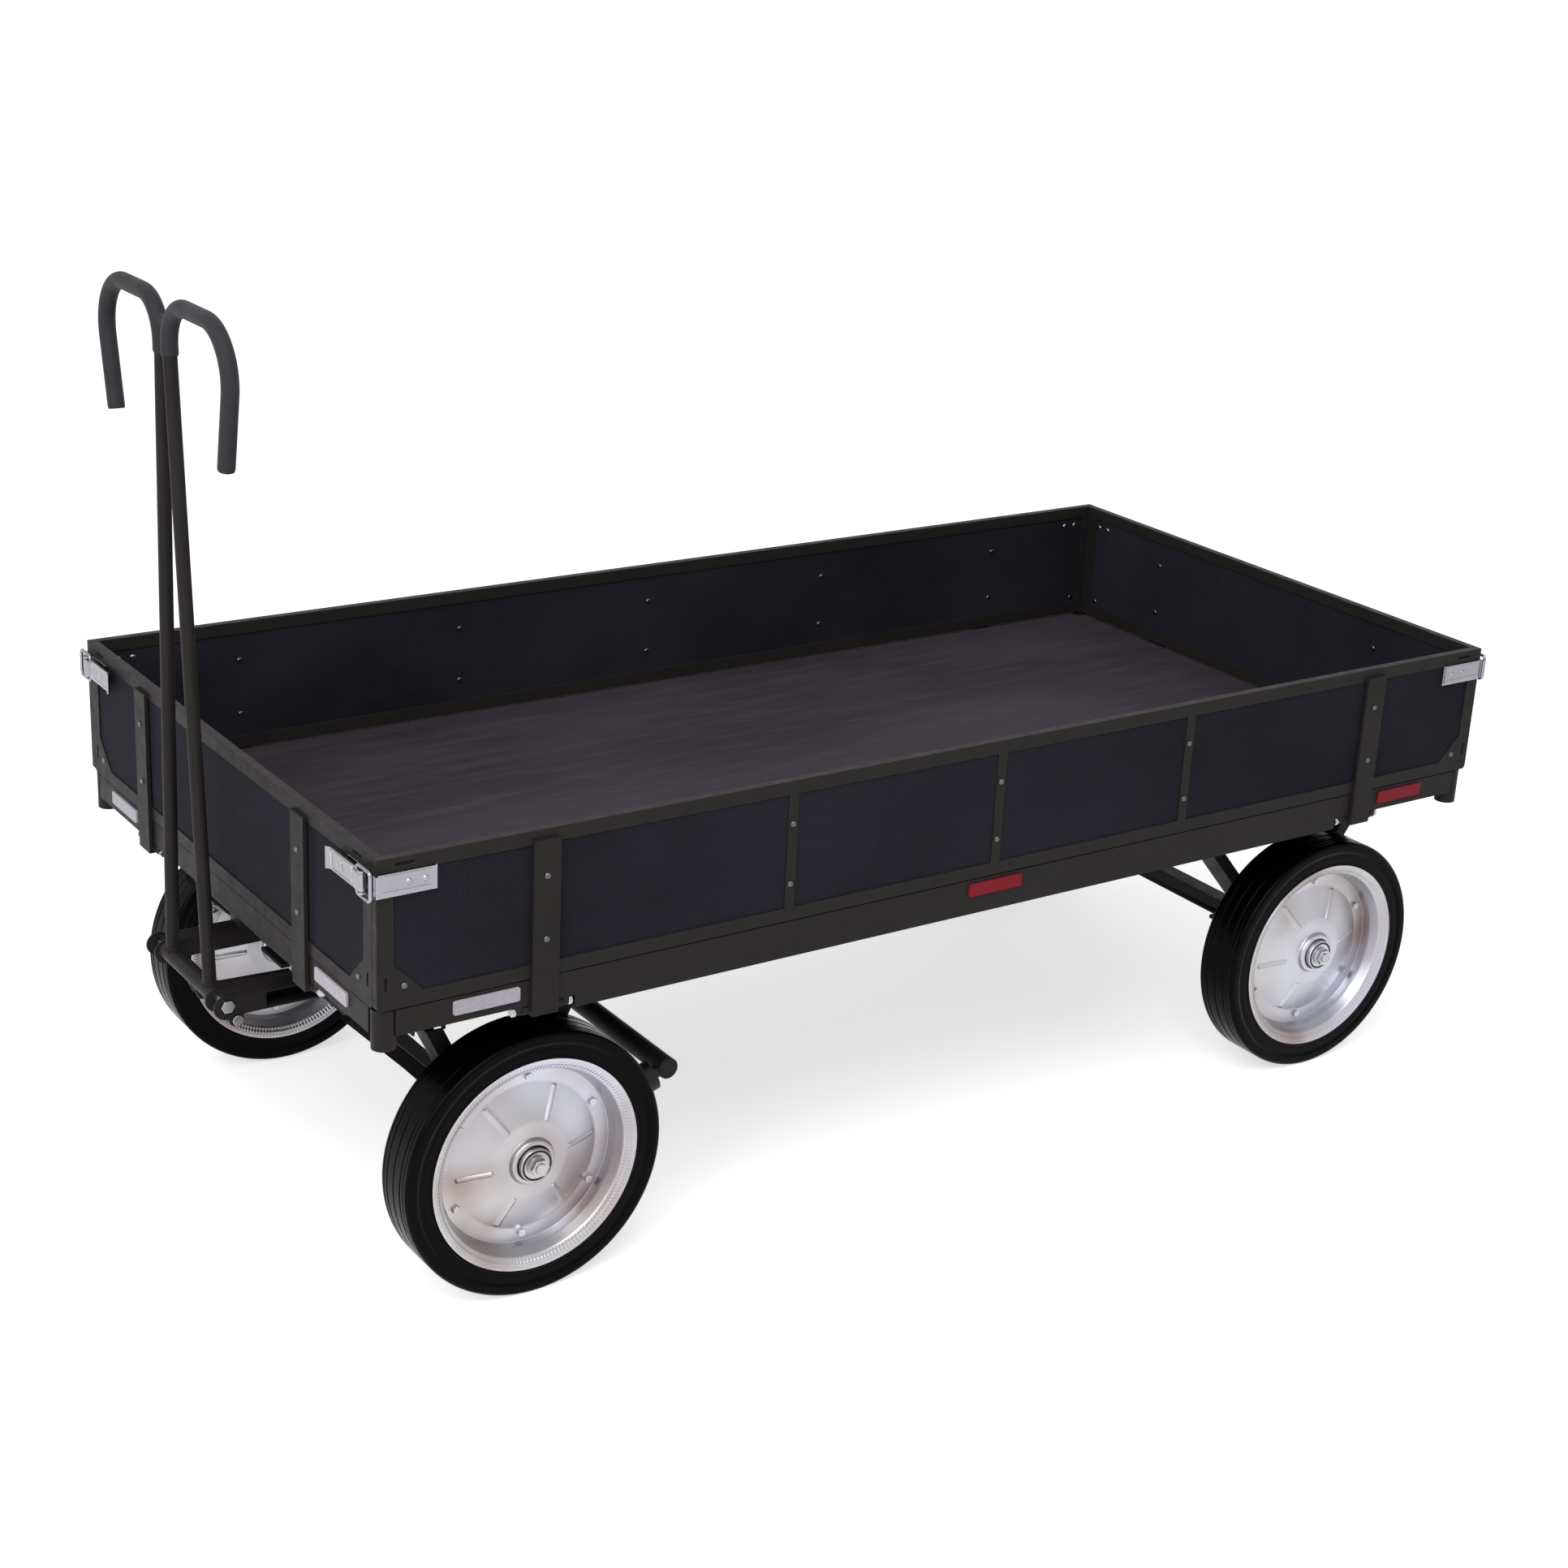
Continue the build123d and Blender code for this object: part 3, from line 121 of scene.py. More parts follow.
class WheelSizes(bpy.types.PropertyGroup):
    """Sizes of the tyres, the pressed rims and the hubs."""

    rim_radius: length("Rim radius", "Outer edge of the pressed rim", 162)
    rim_edge: length("Rim edge", "Rim's edge from the wheel's middle plane", 38)
    seat_radius: length("Seat radius", "Radius where the bolted face meets the wall", 136)
    sheet: length("Sheet", "Thickness of the pressed sheet", 3)
    wall_foot: offsets("Wall foot", "Foot of the wall, out from the seat and in from the edge", (2, 22))
    wall_step: offsets("Wall step", "Bend in the wall, out from the seat and in from the edge", (9, 6))
    wall_head: offsets("Wall head", "Head of the wall, in from the rim's radius and edge", (12, 4))
    lip_foot: offsets("Lip foot", "Inner end of the land, in from the radius and edge", (10, 1.5))
    lip_land: offsets("Lip land", "Outer end of the land, in from the radius and edge", (7, 1.5))
    lip_wide: length("Lip width", "Width of the flat lip at the rim's edge", 5)
    collar_foot: offsets("Collar foot", "Foot of the collar, out from it and above the cone", (3, 2.5))
    hub_gap: length("Hub gap", "Gap between the sheet's middle line and the hub", 1.6)
    seat_gap: length("Seat gap", "Tyre from the middle line of the rim's wall", 3)
    cone_foot: length("Cone foot", "Radius where the cone meets the bolted face", 112.5)
    cone_head: length("Cone head", "Radius where the cone meets the hub's neck", 57)
    cone_rise: length("Cone rise", "Height of the cone at its head", 18.5)
    collar_rise: length("Collar rise", "Height of the collar round the hub", 29.5)
    collar_radius: length("Collar radius", "Radius of the collar round the hub", 31.5)
    hub_radius: length("Hub radius", "Outer radius of the hub tube", 25)
    hub_half: length("Hub half length", "Half the hub's length", 39)
    bore: length("Bore", "Radius of the hole in the hub", 10.5)
    axle_bar_half: length("Axle bar half", "Half the coated bar between the stubs", 376)
    ribs: count("Ribs", "Ribs pressed into the cone", 6)
    rib_phase: angle("Rib phase", "Turn of the first rib", -6)
    rib_width: length("Rib width", "Width of a pressed rib", 8)
    rib_high: length("Rib height", "Height of a pressed rib", 4)
    rib_inner: length("Rib inner", "Rib's inner end from the cone's head", 1)
    rib_outer: length("Rib outer", "Rib's outer end from the cone's foot", 2)
    rib_fade: length("Rib fade", "Length of a rib's sloping ends", 3)
    sheet_blunt: length("Sheet blunt", "Rounding of the sheet's bends", 4.5)
    hub_blunt: length("Hub blunt", "Rounding of the hub's edges", 3)
    seal_in: length("Seal in", "Middle of the seal, in from the hub's radius", 3.5)
    seal_half: length("Seal half", "Half the width of the seal", 1.6)
    seal_high: length("Seal height", "Height of the seal above the hub's end", 0.6)
    groove_pitch: length("Groove pitch", "Distance between the tread's grooves", 19)
    groove_deep: length("Groove depth", "Depth of the tread's grooves", 1.1)
    groove_mouth: length("Groove mouth", "Width of the grooves at the tread", 3.75)
    groove_floor: length("Groove floor", "Width of the grooves at their floor", 2.1)
    bead_gap: length("Bead gap", "Gap between the rim's edge and the tyre", 0.3)
    side_hollow: length("Side hollow", "Depth of the hollow in the tyre's side", 2)
    shoulder: length("Shoulder", "Radius of the tyre's shoulder", 7.5)
    line_wide: length("Line width", "Width of the tyre's fine lines", 1.8)
    line_deep: length("Line depth", "Depth of the tyre's fine lines", 0.7)
    side_lines: offsets("Side lines", "Rings in the tyre's side, out from the rim's edge", (7, 10.5))
    tread_lines: offsets("Tread lines", "Fine lines in the tread, in from the shoulder", (3, 5.5))
    bead_round: offsets("Bead round", "Start of the bead's bend, in from the rim's edge", (4, 6))
    bead_high: length("Bead height", "Height of the bead over the rim's edge", 0.6)
    bead_wide: length("Bead width", "Width of the bead beside the rim's edge", 3)
    hollow_end: length("Hollow end", "Outer end of the hollow, from the rim's edge", 18)
    hollow_rise: length("Hollow rise", "Side's full width, from the rim's edge", 22.5)
    tyre_blunt: length("Tyre blunt", "Rounding of the tyre's edges", 1.2)


class GripSizes(bpy.types.PropertyGroup):
    """Sizes of the soft sleeves on the horns."""

    radius: length("Radius", "Outer radius of the sleeve", 11.8)
    neck_half: length("Neck half", "Distance of the neck from the middle", 14.2)
    neck_slope: number("Neck slope", "Sideways run of the tube for each metre up", -0.06045)
    reach: length("Reach", "Sideways reach of the horn's corner", 225.5)
    toe: length("Toe", "How far the horn's end turns in", 37)
    drop: length("Drop", "Horn's end below its top line", 184)
    neck_drop: length("Neck drop", "Sleeve's start below the top line", 71)
    bends: offsets("Bends", "Radii of the bends above the neck and above the hand", (57, 71))
    web_half: length("Web half", "Half the width of the web's top", 29)
    web_high: length("Web height", "Height of the web between the necks", 52)
    web_thick: length("Web thickness", "Thickness of the web between the necks", 10)
    path_step: length("Path step", "Distance between the sleeve's rings", 2)
    lip: length("Lip", "Length of a sleeve's thinner end", 3)
    lip_thin: share("Lip thin", "Sleeve's end against its full radius", 0.93)


class LatchSizes(bpy.types.PropertyGroup):
    """Places of the ridges on the latch levers."""

    face: length("Face", "Outer face of the lever from its pin", 1.5)
    near: length("Near", "Border's end next to the pin, from the pin", 24)
    far: length("Far", "Border's end next to the tip, from the pin", 86)
    half: length("Half", "Half the border's height", 12.4)
    bend: length("Bend", "Radius of the border's corners", 3)
    ridge: length("Ridge", "Radius of the ridges", 1.1)
    step: length("Step", "Distance between the border's points", 1)
    slant: length("Slant", "Run of the middle mark, each way", 3)
    mark_half: share("Mark half", "Mark's height against the border's", 0.55)
    plates: offsets("Plates", "Bright plates lie further along, across and up", (850, 350, 640))


class WeldSizes(bpy.types.PropertyGroup):
    """Sizes of the weld beads."""

    radius: length("Radius", "Radius of a bead", 2.4)
    pitch: length("Pitch", "Distance between the ripples of a bead", 3.2)
    ripple: share("Ripple", "Height of the ripples against the bead's radius", 0.16)
    axle_seam: offsets("Axle seam", "From the axle's middle, inner end, above the foot", (15.8, 275, -1.2))
    leg_seam: offsets("Leg seam", "Under a leg: from the axle, inner end, above the foot", (38.2, 299, 6))
    seam_short: length("Seam short", "End of a seam from the stand's outer face", 3)
    tube_radius: length("Tube radius", "Ring round an upright tube of the drawbar", 10.3)
    cross_radius: length("Cross tube radius", "Surface of the drawbar's cross tube", 13.2)
    tube_half: length("Tube half", "Foot of an upright tube, from the middle", 67.5)
    bar_radius: length("Brake bar radius", "Surface of the brake bar", 15.8)
    hanger_half: length("Hanger half", "Hanger of the brake bar, from the middle", 66)
    hanger_side: length("Hanger side", "Seam beside a hanger, from the hanger's middle", 4.5)
    hanger_from: angle("Hanger from", "Start of the seam round the brake bar", 50)
    hanger_to: angle("Hanger to", "End of the seam round the brake bar", 130)


class Finishes(bpy.types.PropertyGroup):
    """Colours of the finishes."""

    steel: paint("Steel", "Powder coat on the steelwork", (0.0165, 0.0138, 0.0138))
    bare: paint("Worn edge", "Powder coat rubbed at its edges", (0.035, 0.032, 0.029))
    panel: paint("Panel", "Film on the wall boards", (0.0150, 0.0138, 0.0186))
    deck: paint("Deck", "Film on the deck board", (0.033, 0.026, 0.0355))
    scuff: paint("Scuff", "Scuffs on the deck board", (0.070, 0.057, 0.070))
    zinc: paint("Zinc", "Zinc plating", (0.46, 0.445, 0.45))
    # Partly painted shade: the rosy tint of the plating, made darker than the zinc so its blotches also
    # paint in the dark zones of reflections.
    zinc_rose_tint_and_shade: paint("Warm zinc", "Rosy tint in the zinc plating", (0.31, 0.255, 0.245))
    # Partly painted highlight: the bluish tint of the plating, made lighter than the zinc so its blotches
    # also paint in bright reflections.
    zinc_blue_tint_and_highlight: paint("Cool zinc", "Bluish tint in the zinc plating", (0.53, 0.545, 0.62))
    # Painted highlight: sharp edges of zinc parts are lightened to this colour to stand in for light caught
    # along edges and ribs.
    zinc_edge_highlight: paint("Bright zinc", "Zinc rubbed bright at its edges", (0.78, 0.77, 0.78))
    tyre: paint("Tyre", "Tyre rubber", (0.0010, 0.0010, 0.0013))
    grip: paint("Grip", "Soft sleeve", (0.010, 0.0098, 0.0135))
    white: paint("White reflector", "Clear reflector", (0.58, 0.54, 0.62))
    red: paint("Red reflector", "Red reflector", (0.33, 0.010, 0.028))


class StageSettings(bpy.types.PropertyGroup):
    """Camera and light."""

    focal: number("Focal length", "Lens of the camera", 62.0, unit="CAMERA")
    key: number("Key", "Power of the key light", 95.0, unit="POWER")
    fill: number("Fill", "Power of the fill light", 70.0, unit="POWER")
    key_size: length("Key size", "Side of the key light", 2600)
    fill_size: length("Fill size", "Side of the fill light", 3000)
    key_place: spot("Key place", "Place of the key light", (1.9, 2.4, 3.9))
    fill_place: spot("Fill place", "Place of the fill light", (4.0, 1.6, 2.8))
    aim: spot("Aim", "Point that the lights are turned to", (0.0, 0.0, 0.4))
    ambient: share("Ambient", "Level of the even light from all round", 0.5)
    floor: paint("Floor", "Colour of the floor", (0.9, 0.9, 0.9))
    floor_half: length("Floor half", "Half the floor's side", 60000)
    floor_glow: share("Floor glow", "Glow that takes the floor into the white behind", 0.62)


def shown(name, data):
    """Object with that data, put into the scene."""
    thing = bpy.data.objects.new(name, data)
    bpy.context.scene.collection.objects.link(thing)
    return thing


def mesh_piece(name, points, quads, uv, body, finish):
    """Mesh object from an array of points and quads, with its map, finish and body."""
    mesh = bpy.data.meshes.new(name)
    mesh.vertices.add(len(points))
    mesh.vertices.foreach_set("co", points.astype(np.float32).ravel())
    mesh.loops.add(quads.size)
    mesh.loops.foreach_set("vertex_index", quads.astype(np.int32).ravel())
    mesh.polygons.add(len(quads))
    mesh.polygons.foreach_set("loop_start", np.arange(0, quads.size, 4, dtype=np.int32))
    mesh.uv_layers.new(name="grid").data.foreach_set("uv", uv.astype(np.float32).ravel())
    mesh.update(calc_edges=True)
    shape = bmesh.new()
    shape.from_mesh(mesh)
    bmesh.ops.remove_doubles(shape, verts=shape.verts, dist=1e-6)
    shape.to_mesh(mesh)
    shape.free()
    mesh.shade_smooth()
    mesh.materials.append(finish)
    piece = shown(name, mesh)
    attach(piece, body)
    return piece


def grid_quads(rows, columns, wrap_rows, wrap_columns):
    """Quads of a grid and their map; a wrapped side joins its last line to its first."""
    i, j = np.meshgrid(
        np.arange(rows - (not wrap_rows)), np.arange(columns - (not wrap_columns)), indexing="ij"
    )
    corner_i = np.stack([i, i + 1, i + 1, i], axis=-1).reshape(-1, 4)
    corner_j = np.stack([j, j, j + 1, j + 1], axis=-1).reshape(-1, 4)
    quads = (corner_i % rows) * columns + corner_j % columns
    last_i = rows if wrap_rows else rows - 1
    last_j = columns if wrap_columns else columns - 1
    return quads, np.stack([corner_i / last_i, corner_j / last_j], axis=-1)


def surface(name, grids, wrap_rows, wrap_columns, body, finish):
    """Piece from one grid of points or several, each turned so that its volume is positive."""
    grids = grids if isinstance(grids, list) else [grids]
    all_quads, all_uv, start = [], [], 0
    for grid in grids:
        quads, uv = grid_quads(*grid.shape[:2], wrap_rows, wrap_columns)
        points = grid.reshape(-1, 3)
        a, b, c, d = (points[quads[:, k]] - points.mean(axis=0) for k in range(4))
        volume = np.einsum("ij,ij->", a, np.cross(b, c)) + np.einsum("ij,ij->", a, np.cross(c, d))
        order = slice(None, None, -1) if volume < 0 else slice(None)
        all_quads.append(quads[:, order] + start)
        all_uv.append(uv[:, order])
        start += len(points)
    points = np.concatenate([grid.reshape(-1, 3) for grid in grids])
    quads, uv = np.concatenate(all_quads), np.concatenate(all_uv)
    return mesh_piece(name, points, quads, uv, body, finish)


def run_along(line):
    """Length of a polyline up to each of its points."""
    return np.concatenate([[0], np.cumsum(np.linalg.norm(np.diff(line, axis=0), axis=1))])


def even_steps(line, steps):
    """Points of a polyline at the given lengths along it."""
    runs = run_along(line)
    return np.stack([np.interp(steps, runs, axis) for axis in line.T], axis=1)


def unit(vectors):
    """Vectors in the rows of an array, brought to length 1."""
    return vectors / np.linalg.norm(vectors, axis=1, keepdims=True)


def along_line(corners, samples, blunt):
    """Points at even steps along a polyline, with corners blunted by a moving mean of that length."""
    corners = np.array(corners, float)
    whole = run_along(corners)[-1]
    line = even_steps(corners, np.linspace(0, whole, samples))
    reach = max(1, int(round(blunt / whole * samples / 2)))
    weights = np.hanning(2 * reach + 3)[1:-1]
    weights /= weights.sum()
    before = 2 * line[0] - line[reach:0:-1]
    after = 2 * line[-1] - line[-2 : -reach - 2 : -1]
    padded = np.concatenate([before, line, after])
    return np.stack([np.convolve(padded[:, k], weights, "valid") for k in range(2)], axis=1)


def revolved(profile, centre, turns, lift=None):
    """Grid of a closed profile (radius, height) carried round the Y axis through centre.

    x = r cos t, z = r sin t, y = height, and lift adds a height that depends on radius and turn.
    """
    t = np.linspace(0, TURN, turns, endpoint=False)[:, None]
    r, y = profile[None, :, 0], profile[None, :, 1]
    rise = y + (lift(r, t) if lift else 0)
    grid = np.stack([r * np.cos(t), rise + 0 * t, r * np.sin(t)], axis=-1)
    return grid + np.array(centre)


def corners_of(node):
    """Lowest and highest corner of a node's box."""
    return (np.array(corner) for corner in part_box(node))


def wheel_centre(wheel):
    """Centre, outer radius and half width of a wheel, from its tyre's box."""
    low, high = corners_of(f"{wheel}_tyre")
    return (low + high) / 2, (high[2] - low[2]) / 2, (high[1] - low[1]) / 2


def joint_place(name):
    """Place of a joint in the part's frame."""
    return np.array(next(joint["pos_m"] for joint in frame["joints"] if joint["name"] == name))


class Graph:
    """A material's node tree, with a short way to add and link its nodes."""

    def __init__(self, name):
        self.material = bpy.data.materials.new(name)
        self.material.use_nodes = True
        self.tree = self.material.node_tree
        self.shader = self.tree.nodes["Principled BSDF"]
        self.place = self.add("TexCoord").outputs["Object"]

    def add(self, kind, links=None, **settings):
        """Node of that kind; links sets or links its inputs, settings its own properties."""
        node = self.tree.nodes.new(f"ShaderNode{kind}")
        for key, value in settings.items():
            setattr(node, key, value)
        for key, value in (links or {}).items():
            self.put(node, key, value)
        return node

    def put(self, node, key, value):
        """Sets an input to a value, or links it to a socket."""
        if isinstance(value, bpy.types.NodeSocket):
            self.tree.links.new(value, node.inputs[key])
        else:
            node.inputs[key].default_value = value

    def finish(self, **inputs):
        """Sets the shader's inputs, with underscores for spaces, and gives the material."""
        for key, value in inputs.items():
            self.put(self.shader, key.replace("_", " "), value)
        return self.material

    def noise(self, scale, detail=4.0, roughness=0.55, stretch=None):
        """Noise from 0 to 1 over the place in metres, drawn out along an axis by stretch."""
        place = self.place
        if stretch:
            place = self.add("Mapping", {"Vector": place, "Scale": stretch}).outputs["Vector"]
        links = {"Vector": place, "Scale": scale, "Detail": detail, "Roughness": roughness}
        return self.add("TexNoise", links).outputs["Fac"]

    def spread(self, value, low, high, start=0.3, stop=0.7):
        """Carries a value that lies between start and stop to low and high."""
        links = {"Value": value, "From Min": start, "From Max": stop, "To Min": low, "To Max": high}
        return self.add("MapRange", links).outputs["Result"]

    def blend(self, factor, first, second):
        """Mix of two colours."""
        tones = [c if isinstance(c, bpy.types.NodeSocket) else (*c, 1) for c in (first, second)]
        return self.add("Mix", {0: factor, 6: tones[0], 7: tones[1]}, data_type="RGBA").outputs[2]

    def maths(self, operation, first, second=0.0):
        """One sum on one or two values."""
        return self.add("Math", {0: first, 1: second}, operation=operation).outputs[0]

    def bump(self, height, distance, strength=1.0, below=None):
        """Normal raised by a height field, over another bump if one is given."""
        links = {"Height": height, "Distance": distance, "Strength": strength}
        if below:
            links["Normal"] = below
        return self.add("Bump", links).outputs["Normal"]

    def rounded(self, radius):
        """Normal that rounds sharp edges by that radius."""
        return self.add("Bevel", {"Radius": radius}, samples=6).outputs["Normal"]

    def edges(self, rounded):
        """1 on sharp edges and 0 on flat faces, from the rounded normal."""
        plain = self.add("NewGeometry").outputs["Normal"]
        dot = self.add("VectorMath", {0: rounded, 1: plain}, operation="DOT_PRODUCT").outputs["Value"]
        return self.spread(dot, 1.0, 0.0, 0.75, 0.99)


def powder_coat(name, colour, worn, plating=None, from_middle=0.0):
    """Satin powder coat: fine orange peel, faint clouding, rubbed edges and, if asked, plated ends."""
    g = Graph(name)
    cloud = g.noise(6.0, 5.0)
    rounded = g.rounded(0.0013)
    rub = g.maths("MULTIPLY", g.edges(rounded), g.spread(g.noise(24.0, 6.0), 0.0, 1.0, 0.42, 0.62))
    shade = g.blend(g.spread(cloud, 0.0, 0.35), colour, [1.5 * c for c in colour])
    peel = g.bump(g.noise(620.0, 2.0), 0.00035, 0.35, below=rounded)
    base = g.blend(g.maths("MULTIPLY", rub, 0.8), shade, worn)
    plated = 0.0
    if plating:
        sideways = g.add("SeparateXYZ", {"Vector": g.place}).outputs["Y"]
        plated = g.maths("GREATER_THAN", g.maths("ABSOLUTE", sideways), from_middle)
        base = g.blend(plated, base, plating)
    return g.finish(
        Base_Color=base,
        Metallic=plated,
        Roughness=g.spread(g.noise(45.0), 0.4, 0.54),
        Normal=peel,
        Specular_IOR_Level=0.09,
    )


def film_board(name, colour, scuff, mesh_pitch, gloss, scuffing, shine):
    """Film-faced plywood: a fine pressed mesh, cloudy film, and scuffs that dull it."""
    g = Graph(name)
    axes = g.add("SeparateXYZ", {"Vector": g.place})
    waves = [g.maths("SINE", g.maths("MULTIPLY", axes.outputs[axis], TURN / mesh_pitch)) for axis in "XYZ"]
    weave = g.maths("ADD", g.maths("ADD", waves[0], waves[1]), waves[2])
    cloud = g.noise(2.6, 6.0, 0.6, stretch=(0.7, 1.6, 1.0))
    drag = g.noise(5.0, 8.0, 0.7, stretch=(1.0, 9.0, 9.0))
    marks = g.maths("MULTIPLY", g.spread(drag, 0.0, 1.0, 0.48, 0.72), scuffing)
    darker, lighter = ([level * c for c in colour] for level in (0.72, 1.4))
    shade = g.blend(g.spread(cloud, 0.0, 1.0, 0.36, 0.64), darker, lighter)
    shade = g.blend(g.spread(weave, 0.0, 0.5, -0.5, 2.0), shade, scuff)
    dust = g.spread(g.noise(210.0, 3.0), 0.0, 0.35, 0.62, 0.78)
    base = g.blend(g.maths("MAXIMUM", marks, g.maths("MULTIPLY", dust, scuffing)), shade, scuff)
    grain = g.bump(g.noise(90.0, 5.0, stretch=(0.15, 1.0, 1.0)), 0.0004, 0.25)
    return g.finish(
        Base_Color=base,
        Roughness=g.spread(g.maths("ADD", cloud, g.maths("MULTIPLY", marks, 0.4)), gloss, gloss + 0.16),
        Normal=g.bump(weave, 0.0001, 0.3, below=grain),
        Specular_IOR_Level=shine,
    )


def zinc_plate(name, tints, level=1.0, knurl=0, staining=0.3, gloss=0.2, cold=0.0, plates=None):
    """Zinc plating: rose and blue tints that also paint in reflections, rolling lines and painted
    highlights on sharp edges.

    Cold is the least share of the bluish tint. A knurled band of that many teeth if asked; with plates,
    duller wherever x, y and z from the middle are not all beyond these.
    """
    g = Graph(name)
    tones = (tints.zinc, tints.zinc_rose_tint_and_shade, tints.zinc_blue_tint_and_highlight)
    zinc, rose_tint_and_shade, blue_tint_and_highlight = ([level * c for c in tone] for tone in tones)
    # Rose and blue blotches about 15 to 20 cm across: partly the plating's own tints, partly painted
    # reflection, the rose ones darker as painted shade and the blue ones lighter as painted highlight.
    rose_tint_and_shade_mask = g.spread(g.noise(6.0, 2.0), 0.0, 1.0 - cold, 0.40, 0.60)
    blue_tint_and_highlight_mask = g.spread(g.noise(5.0, 2.0, 0.5, stretch=(1, 1.6, 0.7)), cold, 0.8, 0.45, 0.68)
    tint = g.blend(blue_tint_and_highlight_mask, g.blend(rose_tint_and_shade_mask, zinc, rose_tint_and_shade), blue_tint_and_highlight)
    stain = g.spread(g.noise(38.0, 6.0, 0.65), 0.0, staining, 0.55, 0.75)
    base = g.blend(stain, tint, [0.6 * c for c in zinc])
    rounded = g.rounded(0.0009)
    # Painted highlight: sharp edges, found from the rounded normal, are lightened towards the bright zinc
    # colour.
    base = g.blend(g.maths("MULTIPLY", g.edges(rounded), 0.7), base, tints.zinc_edge_highlight)
    if plates:
        axes = g.add("SeparateXYZ", {"Vector": g.place})
        on_plate = 1.0
        for axis, least in zip("XYZ", plates):
            beyond = g.maths("GREATER_THAN", g.maths("ABSOLUTE", axes.outputs[axis]), least)
            on_plate = g.maths("MULTIPLY", beyond, on_plate)
        base = g.blend(on_plate, [0.4 * c for c in zinc], base)
    normal = g.bump(g.noise(320.0, 3.0, stretch=(0.25, 1.0, 1.0)), 0.0001, 0.18, below=rounded)
    if knurl:
        grid = g.add("UVMap", uv_map="grid").outputs["UV"]
        axes = g.add("SeparateXYZ", {"Vector": grid})
        teeth = g.maths("SINE", g.maths("MULTIPLY", axes.outputs["X"], TURN * knurl))
        band = g.add("FloatCurve")
        points = band.mapping.curves[0].points
        points[0].location, points[1].location = (0.0, 0.0), (1.0, 0.0)
        for place, height in ((0.446, 0.0), (0.45, 1.0), (0.48, 1.0), (0.485, 0.0)):
            points.new(place, height)
        band.mapping.update()
        g.put(band, "Value", axes.outputs["Y"])
        normal = g.bump(g.maths("MULTIPLY", teeth, band.outputs[0]), 0.0006, 0.55, below=normal)
    return g.finish(
        Base_Color=base,
        Metallic=1.0,
        Roughness=g.spread(g.noise(20.0, 5.0), gloss, gloss + 0.12),
        Normal=normal,
    )


def rubber(name, colour, roughness, grain, sheen=0.0, shine=0.3):
    """Moulded rubber or foam: fine grain, a little bloom and uneven gloss."""
    g = Graph(name)
    bloom = g.spread(g.noise(14.0, 6.0), 0.0, 0.7)
    shade = g.blend(bloom, colour, [1.9 * c for c in colour])
    return g.finish(
        Base_Color=shade,
        Roughness=g.spread(g.noise(60.0), roughness, roughness + 0.14),
        Normal=g.bump(g.noise(grain, 3.0), 0.0004, 0.4),
        Sheen_Weight=sheen,
        Specular_IOR_Level=shine,
    )


def reflector_lens(name, colour):
    """Reflector: small prism cells under a clear face."""
    g = Graph(name)
    cells = g.add("TexVoronoi", {"Vector": g.place, "Scale": 330.0, "Randomness": 0.25})
    border = g.spread(cells.outputs["Distance"], 0.0, 1.0, 0.1, 0.6)
    tone = g.blend(border, colour, [0.6 * c for c in colour])
    return g.finish(
        Base_Color=tone,
        Roughness=g.spread(g.noise(40.0), 0.22, 0.34),
        Specular_IOR_Level=0.1,
        Normal=g.bump(cells.outputs["Distance"], 0.0006, 0.35),
    )


def dress(names, finish):
    """Gives CAD nodes a finish."""
    for name in names:
        for place in NODES[name].material_slots:
            place.material = finish


class CART_OT_steelwork(bpy.types.Operator):
    """Powder coat on the rails, frames, straps, stands, bogie, drawbar and brake"""

    bl_idname = "cart.steelwork"
    bl_label = "Steelwork"

    def execute(self, context):
        colours = context.scene.cart_finishes
        coat = powder_coat("powder_coat", colours.steel, colours.bare)
        names = (
            "chassis_rails cross_members corner_sockets hinge_lugs rear_stands front_stands "
            "turntable_upper turntable_lower bogie_frame bogie_arms drawbar_frame brake_bar brake_rod"
        ).split()
        names += [f"{wall}_{part}" for wall in WALLS for part in ("frame", "straps")]
        dress(names, coat)
        axle = powder_coat(
            "axle_coat", colours.steel, colours.bare, colours.zinc, context.scene.cart_wheels.axle_bar_half
        )
        dress(["rear_axle", "front_axle"], axle)
        return {"FINISHED"}


class CART_OT_boards(bpy.types.Operator):
    """Film-faced plywood of the deck and the walls"""

    bl_idname = "cart.boards"
    bl_label = "Boards"

    def execute(self, context):
        colours = context.scene.cart_finishes
        rubbed = [1.7 * c for c in colours.panel]
        pitch = 0.0046
        panel = film_board("panel_film", colours.panel, rubbed, pitch, gloss=0.5, scuffing=0.2, shine=0.015)
        worn = colours.scuff
        deck = film_board("deck_film", colours.deck, worn, pitch, gloss=0.42, scuffing=0.6, shine=0.06)
        dress([f"{wall}_panel" for wall in WALLS], panel)
        dress(["deck_board"], deck)
        return {"FINISHED"}


class CART_OT_fittings(bpy.types.Operator):
    """Zinc plating of the latches, rivets, bolts and nuts, and the reflectors' lenses"""

    bl_idname = "cart.fittings"
    bl_label = "Fittings"

    def execute(self, context):
        colours = context.scene.cart_finishes
        names = "hinge_bolts rear_axle_nuts front_axle_nuts bogie_bolts".split()
        names += [f"{wheel}_rim_bolts" for wheel in WHEELS]
        dress(names, zinc_plate("bolt_zinc", colours))
        plates = context.scene.cart_latches.plates
        names = [f"{wall}_fittings" for wall in WALLS]
        names += [f"{corner}_{part}" for corner in WHEELS for part in ("lever", "bail")]
        latch = zinc_plate("latch_zinc", colours, level=0.58, staining=0.1, cold=0.7, plates=plates)
        dress(names, latch)
        dress(["reflectors_white"], reflector_lens("white_lens", colours.white))
        dress(["reflectors_red"], reflector_lens("red_lens", colours.red))
        return {"FINISHED"}


